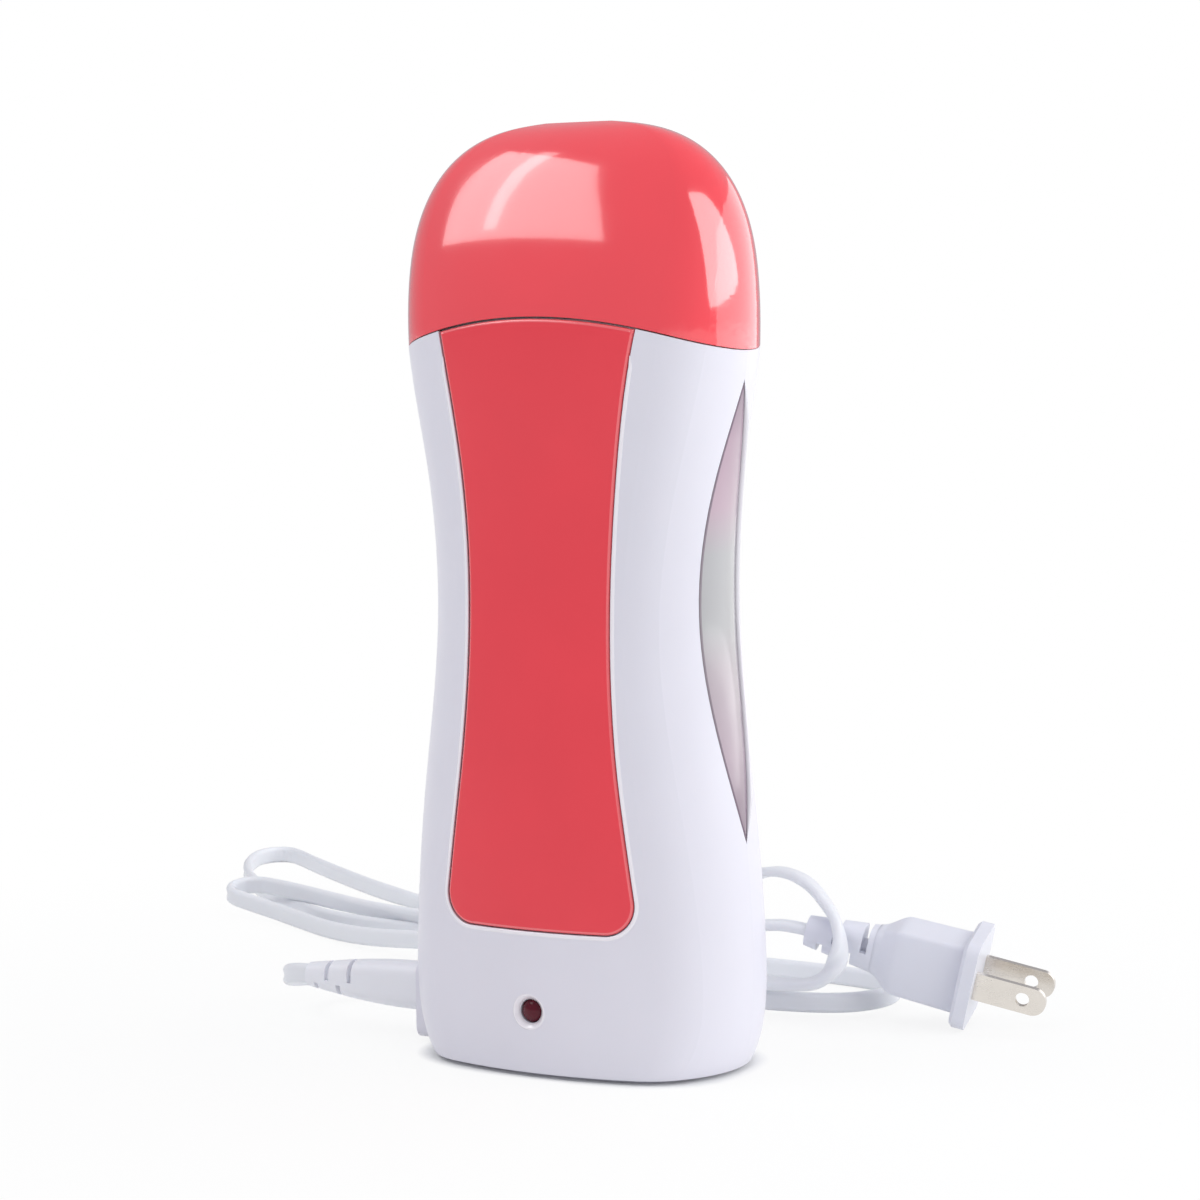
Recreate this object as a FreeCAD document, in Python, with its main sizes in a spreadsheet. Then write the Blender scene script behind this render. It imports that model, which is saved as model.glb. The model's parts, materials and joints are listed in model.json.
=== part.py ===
import FreeCAD, Part
import math
import os
import Sketcher

# A hand-held heater for roll-on wax cartridges, with its detachable two-pin lead.
# Millimetres.  The origin is the middle of the base, on the surface it stands on;
# the coloured front panel faces -Y, +Z is up, and the lead plugs into the -X side.

V = FreeCAD.Vector

# ---------------------------------------------------------------- driving sizes
SIZES = (
    # casing: full widths (X) and depths (Y) at the heights (Z) where they are measured
    ("base_width", 72.0), ("base_depth", 48.0),
    ("foot_height", 5.0), ("foot_width", 76.6), ("foot_depth", 49.2),
    ("hip_height", 25.0), ("hip_width", 80.2), ("hip_depth", 50.2),
    ("thigh_height", 60.0), ("thigh_width", 75.0), ("thigh_depth", 49.0),
    ("waist_height", 95.0), ("waist_width", 68.0), ("waist_depth", 45.4),
    ("chest_height", 130.0), ("chest_width", 72.0), ("chest_depth", 44.8),
    ("shoulder_drop", 2.2), ("shoulder_width", 80.6), ("shoulder_depth", 47.4),
    ("neck_rise", 11.8), ("neck_width", 80.4), ("neck_depth", 44.6),
    ("face_crown", 90.0), ("side_fullness", 1.02), ("corner_fullness", 0.65),
    # cap: upright walls that carry on into a dome
    ("cap_width", 80.3), ("cap_depth", 46.9), ("cap_rise", 41.8),
    ("skirt_reach", 14.2), ("dome_drop", 2.2),
    ("dome_side_power", 3.0), ("dome_face_power", 1.7),
    # seam between the casing and the cap: an arch, highest in the middle
    ("seam_height", 162.2), ("seam_rise", 5.6), ("seam_span", 70.0), ("seam_gap", 0.3),
    # moulded walls and the clearances between pieces
    ("wall", 2.6), ("cap_wall", 2.2), ("fit", 0.3), ("rim_lift", 1.0),
    # how far a cutter runs past what it cuts, and the hair by which a round end stays a corner
    ("margin", 8.0), ("hair", 0.01),
    # coloured insert on the front
    ("panel_thickness", 1.3), ("panel_gap", 0.2), ("panel_bottom", 32.0),
    ("panel_waist_height", 99.0), ("panel_waist_width", 34.4), ("panel_side_radius", 280.0),
    ("panel_tangent_height", 60.0), ("panel_corner", 6.5),
    # windows in the two sides, through which the wax level is read
    ("window_bottom", 49.7), ("window_drop", 13.5), ("window_width", 17.2),
    ("window_gap", 0.15), ("flange_width", 2.0), ("flange_thickness", 1.2),
    # neck that the cap slides over
    ("collar_sink", 10.6), ("collar_rise", 8.8), ("collar_wall", 1.6), ("deck_thickness", 1.8),
    # well for the cartridge
    ("well_width", 53.0), ("well_depth", 32.4), ("well_corner", 13.6), ("well_wall", 1.2),
    ("well_floor", 52.0), ("well_floor_thickness", 2.0),
    ("slot_inset", 10.5), ("slot_width", 9.0),
    # shelf across the casing that carries the well and its heater
    ("shelf_bottom", 38.0), ("shelf_thickness", 2.4), ("ledge_width", 2.4), ("ledge_thickness", 1.6),
    ("cradle_wall", 1.6), ("cradle_rise", 3.2),
    # heater under the well
    ("heater_length", 34.0), ("heater_width", 18.0), ("heater_thickness", 5.0), ("heater_corner", 1.2),
    ("clip_width", 10.0), ("clip_sheet", 0.8), ("clip_span", 28.0), ("clip_foot", 8.0),
    ("thermostat_length", 16.0), ("thermostat_width", 6.0), ("thermostat_thickness", 4.0),
    ("thermostat_corner", 1.5),
    ("fuse_length", 12.0), ("fuse_diameter", 4.0), ("fuse_place", 12.0),
    ("wire_hole", 5.0), ("wire_hole_x", 20.0), ("wire_hole_y", 8.0),
    # base
    ("base_thickness", 3.0), ("screw_spacing", 32.0), ("screw_depth", 32.0),
    ("screw_diameter", 2.8), ("screw_head", 5.2), ("head_height", 1.6), ("screw_length", 11.0),
    ("head_sink", 0.2), ("screw_play", 0.1), ("bore_length", 12.0), ("boss_diameter", 6.6),
    ("boss_height", 15.0), ("boss_gap", 0.1), ("rib", 1.6), ("rib_sink", 0.3),
    # indicator lamp
    ("lamp_height", 14.4), ("lamp_offset", -1.4), ("lens_diameter", 4.8), ("lens_bezel", 7.2),
    ("led_diameter", 3.0), ("lens_radius", 3.2), ("lens_sink", 0.2), ("lens_length", 4.0),
    ("bezel_depth", 1.1), ("lens_rim_width", 0.8), ("lens_rim_thickness", 0.8), ("seat_sink", 0.3),
    ("led_length", 5.0), ("led_gap", 0.5), ("led_rim_width", 0.4), ("led_rim_thickness", 1.0),
    ("board_width", 20.0), ("board_height", 16.0), ("board_thickness", 1.6), ("board_bottom", 6.4),
    ("board_post", 4.0), ("resistor_diameter", 2.2), ("resistor_length", 6.0), ("resistor_rise", 12.0),
    # mains inlet in the left side
    ("inlet_height", 11.6), ("inlet_face", 41.7), ("inlet_width", 12.4), ("inlet_rise", 17.2),
    ("inlet_centre", 9.6), ("inlet_corner", 2.6), ("inlet_length", 16.0), ("inlet_step", 6.4),
    ("inlet_gap", 0.15),
    ("nose_rise", 9.6), ("nose_width", 6.6), ("nose_length", 11.0), ("nose_gap", 0.5),
    ("contact_pitch", 4.8), ("contact_diameter", 1.8), ("contact_length", 9.0), ("contact_play", 0.3),
    ("socket_gap", 0.6), ("pin_tail", 2.5),
    # moulded connector and its bend relief
    ("connector_rise", 10.8), ("connector_width", 8.0), ("connector_corner", 3.4),
    ("connector_length", 21.7),
    ("grip_width", 7.8), ("grip_rise", 10.4), ("grip_place", 10.8),
    ("relief_rise", 8.4), ("relief_width", 6.6), ("relief_corner", 2.9), ("relief_length", 10.4),
    ("relief_end", 5.6), ("relief_tip_corner", 2.7), ("relief_core_size", 4.4),
    ("relief_slit", 1.2), ("relief_pitch", 3.2), ("relief_first", 2.3),
    # how far past the middle an upper slit reaches, and how far short of it a lower one stops
    ("slit_reach", 0.5), ("slit_short", 1.3),
    # lead
    ("cord_diameter", 4.2),
    # two-blade plug
    ("plug_width", 22.4), ("plug_rise", 20.7), ("plug_corner", 3.6), ("plug_flange", 3.6),
    ("plug_bevel", 0.8),
    ("plug_body_length", 20.8), ("plug_body_width", 12.0), ("plug_body_rise", 15.8),
    ("plug_body_corner", 2.2),
    ("plug_shoulder_width", 11.0), ("plug_shoulder_rise", 13.0), ("plug_shoulder", 4.0),
    ("plug_shoulder_corner", 2.4),
    ("plug_neck_width", 8.8), ("plug_neck_rise", 10.7), ("plug_neck_length", 16.5),
    ("plug_neck_corner", 3.0),
    ("plug_tail_width", 6.4), ("plug_tail_rise", 6.8), ("plug_tail_corner", 2.6),
    ("plug_slit", 1.5), ("plug_slit_pitch", 3.44), ("plug_slit_first", 3.1), ("plug_core_size", 3.6),
    ("blade_pitch", 12.7), ("blade_width", 6.35), ("blade_thickness", 1.5), ("blade_length", 16.6),
    ("blade_corner", 3.1), ("blade_cover", 0.4),("blade_hole", 3.2), ("blade_hole_place", 11.2),
    ("plug_yaw", 13.5), ("plug_pitch", 13.06), ("plug_roll", 6.8),
    # internal wiring
    ("wire_diameter", 1.6), ("wire_drop", 8.0), ("wire_climb", 5.0),
    ("wire_turn", 3.5), ("wire_loop", 5.5), ("terminal_offset", 3.0),
)

# The lead lies in loose loops behind the heater: from the connector it runs back and to the
# right, folds, returns to the left, loops, comes back over itself, stands up in a small ring
# against the plug's neck, goes left again, folds and ends in the plug.
CORD_ROUTE = (
    (-74.1, 0.0, 11.6), (-78.5, 0.0, 11.6), (-84.0, 4.0, 9.8), (-87.2, 12.0, 7.6),
    (-85.0, 22.0, 6.4), (-75.0, 31.0, 5.8), (-62.0, 39.5, 5.2), (-38.0, 49.0, 3.8),
    (0.0, 54.5, 2.2), (20.0, 54.5, 2.2), (33.0, 57.0, 2.2), (40.0, 63.5, 2.2),
    (40.5, 75.0, 2.2), (34.2, 86.0, 2.2), (21.0, 91.5, 2.2), (-4.0, 93.0, 2.2),
    (-46.0, 92.6, 2.2), (-84.0, 94.8, 2.2), (-111.0, 98.3, 2.2), (-131.2, 102.7, 2.2),
    (-149.7, 111.0, 2.2), (-168.0, 121.8, 2.2), (-184.0, 134.4, 2.2), (-196.0, 147.2, 2.2),
    (-204.2, 159.0, 2.2), (-209.0, 169.0, 2.2), (-210.8, 175.2, 2.2), (-209.8, 180.4, 2.2),
    (-205.2, 182.6, 2.2), (-199.6, 179.4, 2.2), (-188.8, 171.1, 2.2), (-170.0, 157.6, 2.2),
    (-146.0, 141.4, 2.2), (-120.0, 127.5, 2.2), (-88.0, 118.5, 2.6), (-54.0, 107.0, 7.0),
    (-26.0, 92.5, 15.5), (-5.5, 82.0, 24.5), (9.0, 71.5, 31.0), (21.7, 63.5, 31.1),
    (31.2, 55.4, 27.4), (37.0, 50.4, 22.4), (38.8, 46.8, 16.4), (34.9, 45.6, 10.9),
    (25.5, 50.2, 8.2), (8.0, 56.0, 7.2), (-24.0, 62.5, 7.0), (-64.0, 69.0, 6.6),
    (-88.0, 73.4, 5.4), (-109.0, 78.4, 3.4), (-127.0, 86.6, 2.4), (-143.0, 95.6, 2.5),
    (-155.0, 100.8, 3.2), (-164.5, 103.0, 4.3), (-171.8, 104.9, 5.2), (-174.3, 108.8, 6.0),
    (-173.2, 113.2, 6.6), (-169.2, 115.4, 6.8), (-162.3, 113.6, 6.8), (-150.5, 109.1, 6.8),
    (-136.0, 102.6, 6.8), (-112.0, 93.2, 6.9), (-68.0, 83.0, 9.0), (-40.0, 72.0, 13.0),
    (-12.0, 59.6, 18.0), (6.5, 54.0, 20.3), (16.8, 52.5, 21.3), (22.35, 53.4, 21.72),
    (26.9, 54.5, 20.64),
)

os.makedirs("parts", exist_ok=True)
doc = FreeCAD.newDocument("roll_on_wax_heater")
sheet = doc.addObject("Spreadsheet::Sheet", "Sizes")
for row, (alias, value) in enumerate(SIZES, start=1):
    sheet.set(f"A{row}", alias)
    sheet.set(f"B{row}", str(value))
    sheet.setAlias(f"B{row}", alias)
doc.recompute()


# ---------------------------------------------------------------- helpers
def S(text):
    """Write an expression with the sheet's aliases: every @name becomes Sizes.name."""
    return text.replace("@", "Sizes.")


def number(text):
    """The present value of an expression in the sheet's aliases."""
    return float(sheet.evalExpression(S(text)))


def plane_of(body, role):
    for feature in body.Origin.OriginFeatures:
        if feature.Role == role:
            return feature
    raise ValueError(role)


def new_body(name):
    return doc.addObject("PartDesign::Body", name)


def new_sketch(body, name, role, offset="0"):
    """A sketch on one of the body's own planes, moved along that plane's normal."""
    sketch = body.newObject("Sketcher::SketchObject", name)
    sketch.AttachmentSupport = [(plane_of(body, role), "")]
    sketch.MapMode = "FlatFace"
    sketch.setExpression(".AttachmentOffset.Base.z", S(offset))
    return sketch


def bind(sketch, kind, arguments, name, text):
    """Add a dimension and bind it to the sheet."""
    index = sketch.addConstraint(Sketcher.Constraint(kind, *arguments, number(text)))
    sketch.renameConstraint(index, name)
    sketch.setExpression(f".Constraints.{name}", S(text))


def circle_arc(cx, cy, radius, start, end):
    circle = Part.Circle(V(cx, cy, 0), V(0, 0, 1), radius)
    return Part.ArcOfCircle(circle, math.radians(start), math.radians(end))


def line(x0, y0, x1, y1):
    return Part.LineSegment(V(x0, y0, 0), V(x1, y1, 0))


ORIGIN = (-1, 1)
X_AXIS = -1
Y_AXIS = -2

TOTAL_HEIGHT = "(@seam_height + @cap_rise)"
DOME_START = "(@seam_height - @dome_drop)"
COLLAR_BOTTOM = "(@seam_height - @collar_sink)"
COLLAR_TOP = "(@seam_height + @collar_rise)"
WINDOW_TOP = "(@seam_height - @window_drop)"
WINDOW_HEIGHT = f"(({WINDOW_TOP} + @window_bottom) / 2)"
WINDOW_LENGTH = f"({WINDOW_TOP} - @window_bottom)"


def oval_section(body, name, half_width, half_depth, height):
    """A crowned, round-cornered section: four crown arcs joined by four corner arcs."""
    sketch = new_sketch(body, name, "XY_Plane", height)
    face = "@face_crown"
    side = f"(({half_depth}) * @side_fullness)"
    corner = f"(({half_depth}) * @corner_fullness)"
    a = number(half_width)
    b = number(half_depth)
    face_r = number(face)
    side_r = number(side)
    corner_r = number(corner)
    side_x = a - side_r
    face_y = face_r - b
    # the corner's centre lies where it is tangent to both crowns
    apart = math.hypot(side_x, face_y)
    along = ((face_r - corner_r) ** 2 - (side_r - corner_r) ** 2 + apart ** 2) / (2 * apart)
    across = math.sqrt((face_r - corner_r) ** 2 - along ** 2)
    corner_x = (along * side_x + across * face_y) / apart
    corner_y = (along * face_y - across * side_x) / apart - face_y
    # the crown arcs end on the lines through their own centre and the corner's
    side_end = math.degrees(math.atan2(abs(corner_y), corner_x - side_x))
    face_end = math.degrees(math.atan2(corner_x, abs(corner_y) + face_y))
    corner_y = abs(corner_y)
    arcs = (
        circle_arc(side_x, 0, side_r, -side_end, side_end),
        circle_arc(corner_x, corner_y, corner_r, side_end, 90 - face_end),
        circle_arc(0, -face_y, face_r, 90 - face_end, 90 + face_end),
        circle_arc(-corner_x, corner_y, corner_r, 90 + face_end, 180 - side_end),
        circle_arc(-side_x, 0, side_r, 180 - side_end, 180 + side_end),
        circle_arc(-corner_x, -corner_y, corner_r, 180 + side_end, 270 - face_end),
        circle_arc(0, face_y, face_r, 270 - face_end, 270 + face_end),
        circle_arc(corner_x, -corner_y, corner_r, 270 + face_end, 360 - side_end),
    )
    for piece in arcs:
        sketch.addGeometry(piece, False)
    for index in range(8):
        sketch.addConstraint(Sketcher.Constraint("Tangent", index, 2, (index + 1) % 8, 1))
    sketch.addConstraint(Sketcher.Constraint("PointOnObject", 0, 3, X_AXIS))
    sketch.addConstraint(Sketcher.Constraint("PointOnObject", 2, 3, Y_AXIS))
    sketch.addConstraint(Sketcher.Constraint("Symmetric", 0, 3, 4, 3, *ORIGIN))
    sketch.addConstraint(Sketcher.Constraint("Symmetric", 2, 3, 6, 3, *ORIGIN))
    sketch.addConstraint(Sketcher.Constraint("Equal", 0, 4))
    sketch.addConstraint(Sketcher.Constraint("Equal", 2, 6))
    for index in (3, 5, 7):
        sketch.addConstraint(Sketcher.Constraint("Equal", 1, index))
    bind(sketch, "Radius", (0,), "side_crown", side)
    bind(sketch, "Radius", (2,), "face_crown", face)
    bind(sketch, "Radius", (1,), "corner", corner)
    bind(sketch, "DistanceX", (*ORIGIN, 0, 3), "side_centre", f"({half_width}) - {side}")
    bind(sketch, "DistanceY", (2, 3, *ORIGIN), "face_centre", f"{face} - ({half_depth})")
    return sketch


def rounded_rectangle(sketch, width, rise, corner, centre_x="0", centre_y="0"):
    """A rectangle with four equal round corners about a centre."""
    w = number(width) / 2
    r = number(rise) / 2
    c = number(corner)
    cx = number(centre_x)
    cy = number(centre_y)
    inner_w = w - c
    inner_r = r - c
    pieces = (
        line(cx + w, cy - inner_r, cx + w, cy + inner_r),
        circle_arc(cx + inner_w, cy + inner_r, c, 0, 90),
        line(cx + inner_w, cy + r, cx - inner_w, cy + r),
        circle_arc(cx - inner_w, cy + inner_r, c, 90, 180),
        line(cx - w, cy + inner_r, cx - w, cy - inner_r),
        circle_arc(cx - inner_w, cy - inner_r, c, 180, 270),
        line(cx - inner_w, cy - r, cx + inner_w, cy - r),
        circle_arc(cx + inner_w, cy - inner_r, c, 270, 360),
    )
    for piece in pieces:
        sketch.addGeometry(piece, False)
    for index in range(8):
        sketch.addConstraint(Sketcher.Constraint("Tangent", index, 2, (index + 1) % 8, 1))
    sketch.addConstraint(Sketcher.Constraint("Vertical", 0))
    sketch.addConstraint(Sketcher.Constraint("Horizontal", 2))
    sketch.addConstraint(Sketcher.Constraint("Vertical", 4))
    sketch.addConstraint(Sketcher.Constraint("Horizontal", 6))
    for index in (3, 5, 7):
        sketch.addConstraint(Sketcher.Constraint("Equal", 1, index))
    bind(sketch, "Radius", (1,), "corner", corner)
    bind(sketch, "DistanceX", (3, 3, 1, 3), "inner_width", f"({width}) - 2 * ({corner})")
    bind(sketch, "DistanceY", (7, 3, 1, 3), "inner_rise", f"({rise}) - 2 * ({corner})")
    bind(sketch, "DistanceX", (*ORIGIN, 1, 3), "place_x", f"({centre_x}) + ({width}) / 2 - ({corner})")
    bind(sketch, "DistanceY", (*ORIGIN, 1, 3), "place_y", f"({centre_y}) + ({rise}) / 2 - ({corner})")


def lens_outline(sketch, grow):
    """The pointed oval of a side window, on a plane whose axes are Y and Z."""
    half_length = f"({WINDOW_LENGTH} / 2 + {grow})"
    half_width = f"(@window_width / 2 + {grow})"
    radius = f"(({half_length})^2 + ({half_width})^2) / (2 * {half_width})"
    h = number(half_length)
    w = number(half_width)
    r = number(radius)
    z = number(WINDOW_HEIGHT)
    sweep = math.degrees(math.asin(h / r))
    sketch.addGeometry(circle_arc(w - r, z, r, -sweep, sweep), False)
    sketch.addGeometry(circle_arc(r - w, z, r, 180 - sweep, 180 + sweep), False)
    sketch.addConstraint(Sketcher.Constraint("Coincident", 0, 2, 1, 1))
    sketch.addConstraint(Sketcher.Constraint("Coincident", 1, 2, 0, 1))
    sketch.addConstraint(Sketcher.Constraint("PointOnObject", 0, 2, Y_AXIS))
    sketch.addConstraint(Sketcher.Constraint("PointOnObject", 0, 1, Y_AXIS))
    sketch.addConstraint(Sketcher.Constraint("Equal", 0, 1))
    bind(sketch, "DistanceY", (*ORIGIN, 0, 2), "top", f"{WINDOW_HEIGHT} + {half_length}")
    bind(sketch, "DistanceY", (*ORIGIN, 0, 1), "bottom", f"{WINDOW_HEIGHT} - {half_length}")
    bind(sketch, "Radius", (0,), "radius", radius)


def loft(body, name, sections):
    feature = body.newObject("PartDesign::AdditiveLoft", name)
    feature.Profile = sections[0]
    feature.Sections = sections[1:]
    feature.Ruled = False
    for section in sections:
        section.Visibility = False
    return feature


def pad(body, name, profile, length, reverse=False, midplane=False):
    feature = body.newObject("PartDesign::Pad", name)
    feature.Profile = profile
    feature.setExpression("Length", S(length))
    feature.Reversed = reverse
    feature.Midplane = midplane
    return feature


def pocket(body, name, profile, length, reverse=False, midplane=False):
    feature = body.newObject("PartDesign::Pocket", name)
    feature.Profile = profile
    feature.setExpression("Length", S(length))
    feature.Reversed = reverse
    feature.Midplane = midplane
    return feature


def cut(name, base, tool):
    feature = doc.addObject("Part::Cut", name)
    feature.Base = base
    feature.Tool = tool
    return feature


def common(name, base, tool):
    feature = doc.addObject("Part::Common", name)
    feature.Base = base
    feature.Tool = tool
    return feature


def fuse(name, pieces):
    feature = doc.addObject("Part::MultiFuse", name)
    feature.Shapes = pieces
    return feature


def placed(feature, x="0", y="0", z="0", axis=None, turn=0):
    """Turn a primitive about an axis and bind its place to the sheet."""
    if axis is not None:
        feature.Placement = FreeCAD.Placement(V(0, 0, 0), FreeCAD.Rotation(axis, turn))
    feature.setExpression("Placement.Base.x", S(x))
    feature.setExpression("Placement.Base.y", S(y))
    feature.setExpression("Placement.Base.z", S(z))
    return feature


def box(name, length, width, height, x, y, z):
    feature = doc.addObject("Part::Box", name)
    feature.setExpression("Length", S(length))
    feature.setExpression("Width", S(width))
    feature.setExpression("Height", S(height))
    return placed(feature, x, y, z)


def cylinder(name, diameter, length, x, y, z, axis=None, turn=0):
    feature = doc.addObject("Part::Cylinder", name)
    feature.setExpression("Radius", S(f"({diameter}) / 2"))
    feature.setExpression("Height", S(length))
    return placed(feature, x, y, z, axis, turn)


def cone(name, diameter, end_diameter, length, x, y, z, axis=None, turn=0):
    feature = doc.addObject("Part::Cone", name)
    feature.setExpression("Radius1", S(f"({diameter}) / 2"))
    feature.setExpression("Radius2", S(f"({end_diameter}) / 2"))
    feature.setExpression("Height", S(length))
    return placed(feature, x, y, z, axis, turn)


ALONG_X = (V(0, 1, 0), 90)
ALONG_Y = (V(1, 0, 0), -90)

NODES = []


def node(feature, label):
    """Give a finished sub-part the name of its file."""
    feature.Label = label
    NODES.append(feature)
    return feature


# ---------------------------------------------------------------- casing envelopes
STATIONS = (
    ("base", "0"),
    ("foot", "@foot_height"),
    ("hip", "@hip_height"),
    ("thigh", "@thigh_height"),
    ("waist", "@waist_height"),
    ("chest", "@chest_height"),
    ("shoulder", "(@seam_height - @shoulder_drop)"),
    ("neck", "(@seam_height + @neck_rise)"),
)


def envelope(name, inset):
    """The casing's outer form, drawn in by an inset: one loft through all its stations."""
    body = new_body(name)
    sections = []
    for station, height in STATIONS:
        width = f"@{station}_width / 2 - ({inset})"
        depth = f"@{station}_depth / 2 - ({inset})"
        sections.append(oval_section(body, f"{name}_{station}", width, depth, height))
    loft(body, f"{name}_loft", sections)
    return body


def dome_size(full, fraction, power):
    """Half a width of the dome at a fraction of its height: a superellipse."""
    return f"({full}) * (1 - {fraction}^@{power})^(1 / @{power})"


DOME_STEPS = (0.22, 0.4, 0.56, 0.7, 0.81, 0.89, 0.95, 0.985, 0.997)


def cap_envelope(name, inset):
    """The cap's form, drawn in by an inset: upright walls carried on into a dome."""
    body = new_body(name)
    width = f"@cap_width / 2 - ({inset})"
    depth = f"@cap_depth / 2 - ({inset})"
    rise = f"({TOTAL_HEIGHT} - ({inset}) - {DOME_START})"
    sections = [
        oval_section(body, f"{name}_skirt", width, depth, "@seam_height - @skirt_reach"),
        oval_section(body, f"{name}_start", width, depth, DOME_START),
    ]
    for index, step in enumerate(DOME_STEPS):
        step_width = dome_size(width, step, "dome_side_power")
        step_depth = dome_size(depth, step, "dome_face_power")
        # the last section closes the crest at its full height
        share = 1 if step == DOME_STEPS[-1] else step
        height = f"{DOME_START} + {rise} * {share}"
        sections.append(oval_section(body, f"{name}_dome_{index}", step_width, step_depth, height))
    loft(body, f"{name}_loft", sections)
    return body


def seam_profile(body, name, bottom, lift):
    """A plate outline in X and Z with a flat bottom and the seam's arch for its top."""
    sketch = new_sketch(body, name, "XZ_Plane")
    radius = "((@seam_span / 2)^2 + @seam_rise^2) / (2 * @seam_rise)"
    r = number(radius)
    reach = number("@shoulder_width / 2 + @margin")
    low = number(bottom)
    crown = number(f"@seam_height + {lift}")
    end_z = crown - r + math.sqrt(r * r - reach * reach)
    half = math.degrees(math.asin(reach / r))
    sketch.addGeometry(line(-reach, low, reach, low), False)
    sketch.addGeometry(line(reach, low, reach, end_z), False)
    sketch.addGeometry(circle_arc(0, crown - r, r, 90 - half, 90 + half), False)
    sketch.addGeometry(line(-reach, end_z, -reach, low), False)
    sketch.addConstraint(Sketcher.Constraint("Coincident", 0, 2, 1, 1))
    sketch.addConstraint(Sketcher.Constraint("Coincident", 1, 2, 2, 1))
    sketch.addConstraint(Sketcher.Constraint("Coincident", 2, 2, 3, 1))
    sketch.addConstraint(Sketcher.Constraint("Coincident", 3, 2, 0, 1))
    sketch.addConstraint(Sketcher.Constraint("Horizontal", 0))
    sketch.addConstraint(Sketcher.Constraint("Vertical", 1))
    sketch.addConstraint(Sketcher.Constraint("Vertical", 3))
    sketch.addConstraint(Sketcher.Constraint("PointOnObject", 2, 3, Y_AXIS))
    bind(sketch, "DistanceX", (0, 1, 0, 2), "width", "@shoulder_width + 2 * @margin")
    bind(sketch, "Radius", (2,), "arch", radius)
    bind(sketch, "DistanceY", (*ORIGIN, 2, 3), "crown", f"@seam_height + {lift} - {radius}")
    bind(sketch, "DistanceY", (*ORIGIN, 0, 1), "bottom", bottom)
    return sketch


def panel_outline(body, name, grow):
    """The waisted outline of the front insert, in X and Z; its top runs out past the seam."""
    sketch = new_sketch(body, name, "XZ_Plane")
    waist = f"(@panel_waist_width / 2 + {grow})"
    radius = f"(@panel_side_radius - {grow})"
    corner = f"(@panel_corner + {grow})"
    bottom = f"(@panel_bottom - {grow})"
    top = "(@seam_height + @margin)"
    w = number(waist)
    r = number(radius)
    c = number(corner)
    z_waist = number("@panel_waist_height")
    z_low = number("@panel_tangent_height")
    z_bottom = number(bottom)
    z_top = number(top)
    cx = w + r
    # the straight runs down from the arc's lower end, tangent to it, into the corner
    low_angle = math.asin((z_waist - z_low) / r)
    low_x = cx - r * math.cos(low_angle)
    slope = math.tan(low_angle)
    corner_z = z_bottom + c
    line_x = low_x + slope * (z_low - corner_z)
    corner_x = line_x - c / math.cos(low_angle)
    touch_x = corner_x + c * math.cos(low_angle)
    touch_z = corner_z + c * math.sin(low_angle)
    top_angle = math.asin((z_top - z_waist) / r)
    top_x = cx - r * math.cos(top_angle)
    low_deg = math.degrees(low_angle)
    top_deg = math.degrees(top_angle)
    pieces = (
        line(-corner_x, z_bottom, corner_x, z_bottom),
        circle_arc(corner_x, corner_z, c, 270, 360 + low_deg),
        line(touch_x, touch_z, low_x, z_low),
        circle_arc(cx, z_waist, r, 180 - top_deg, 180 + low_deg),
        line(top_x, z_top, -top_x, z_top),
        circle_arc(-cx, z_waist, r, 360 - low_deg, 360 + top_deg),
        line(-low_x, z_low, -touch_x, touch_z),
        circle_arc(-corner_x, corner_z, c, 180 - low_deg, 270),
    )
    for piece in pieces:
        sketch.addGeometry(piece, False)
    join = Sketcher.Constraint
    sketch.addConstraint(join("Tangent", 0, 2, 1, 1))
    sketch.addConstraint(join("Tangent", 1, 2, 2, 1))
    sketch.addConstraint(join("Tangent", 2, 2, 3, 2))
    sketch.addConstraint(join("Coincident", 3, 1, 4, 1))
    sketch.addConstraint(join("Coincident", 4, 2, 5, 2))
    sketch.addConstraint(join("Tangent", 5, 1, 6, 1))
    sketch.addConstraint(join("Tangent", 6, 2, 7, 1))
    sketch.addConstraint(join("Tangent", 7, 2, 0, 1))
    sketch.addConstraint(join("Horizontal", 0))
    sketch.addConstraint(join("Horizontal", 4))
    sketch.addConstraint(join("Symmetric", 3, 3, 5, 3, Y_AXIS))
    sketch.addConstraint(join("Symmetric", 1, 3, 7, 3, Y_AXIS))
    sketch.addConstraint(join("Equal", 3, 5))
    bind(sketch, "Radius", (3,), "side", radius)
    bind(sketch, "Radius", (1,), "corner", corner)
    bind(sketch, "DistanceX", (*ORIGIN, 3, 3), "waist", f"{waist} + {radius}")
    bind(sketch, "DistanceY", (*ORIGIN, 3, 3), "waist_height", "@panel_waist_height")
    bind(sketch, "DistanceY", (*ORIGIN, 3, 2), "tangent_height", "@panel_tangent_height")
    bind(sketch, "DistanceY", (*ORIGIN, 0, 1), "bottom", bottom)
    bind(sketch, "DistanceY", (*ORIGIN, 4, 1), "top", top)
    return sketch


outer = envelope("outer", "0")
panel_floor = envelope("panel_floor", "@panel_thickness + @panel_gap")
panel_back = envelope("panel_back", "@panel_thickness")
inner = envelope("inner", "@wall")
lining = envelope("lining", "@wall + @fit")
flange_back = envelope("flange_back", "@wall + @fit + @flange_thickness")
collar_bore = envelope("collar_bore", "@wall + @fit + @collar_wall")
proud = envelope("proud", "-@fit")


# ---------------------------------------------------------------- zones and cutters
def half_zone(name, reverse):
    """Everything from the rim up to the seam on one side of the Y = 0 split."""
    body = new_body(name)
    profile = seam_profile(body, f"{name}_outline", "@rim_lift", "0")
    pad(body, f"{name}_pad", profile, "@hip_depth", reverse=reverse)
    return body


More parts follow.
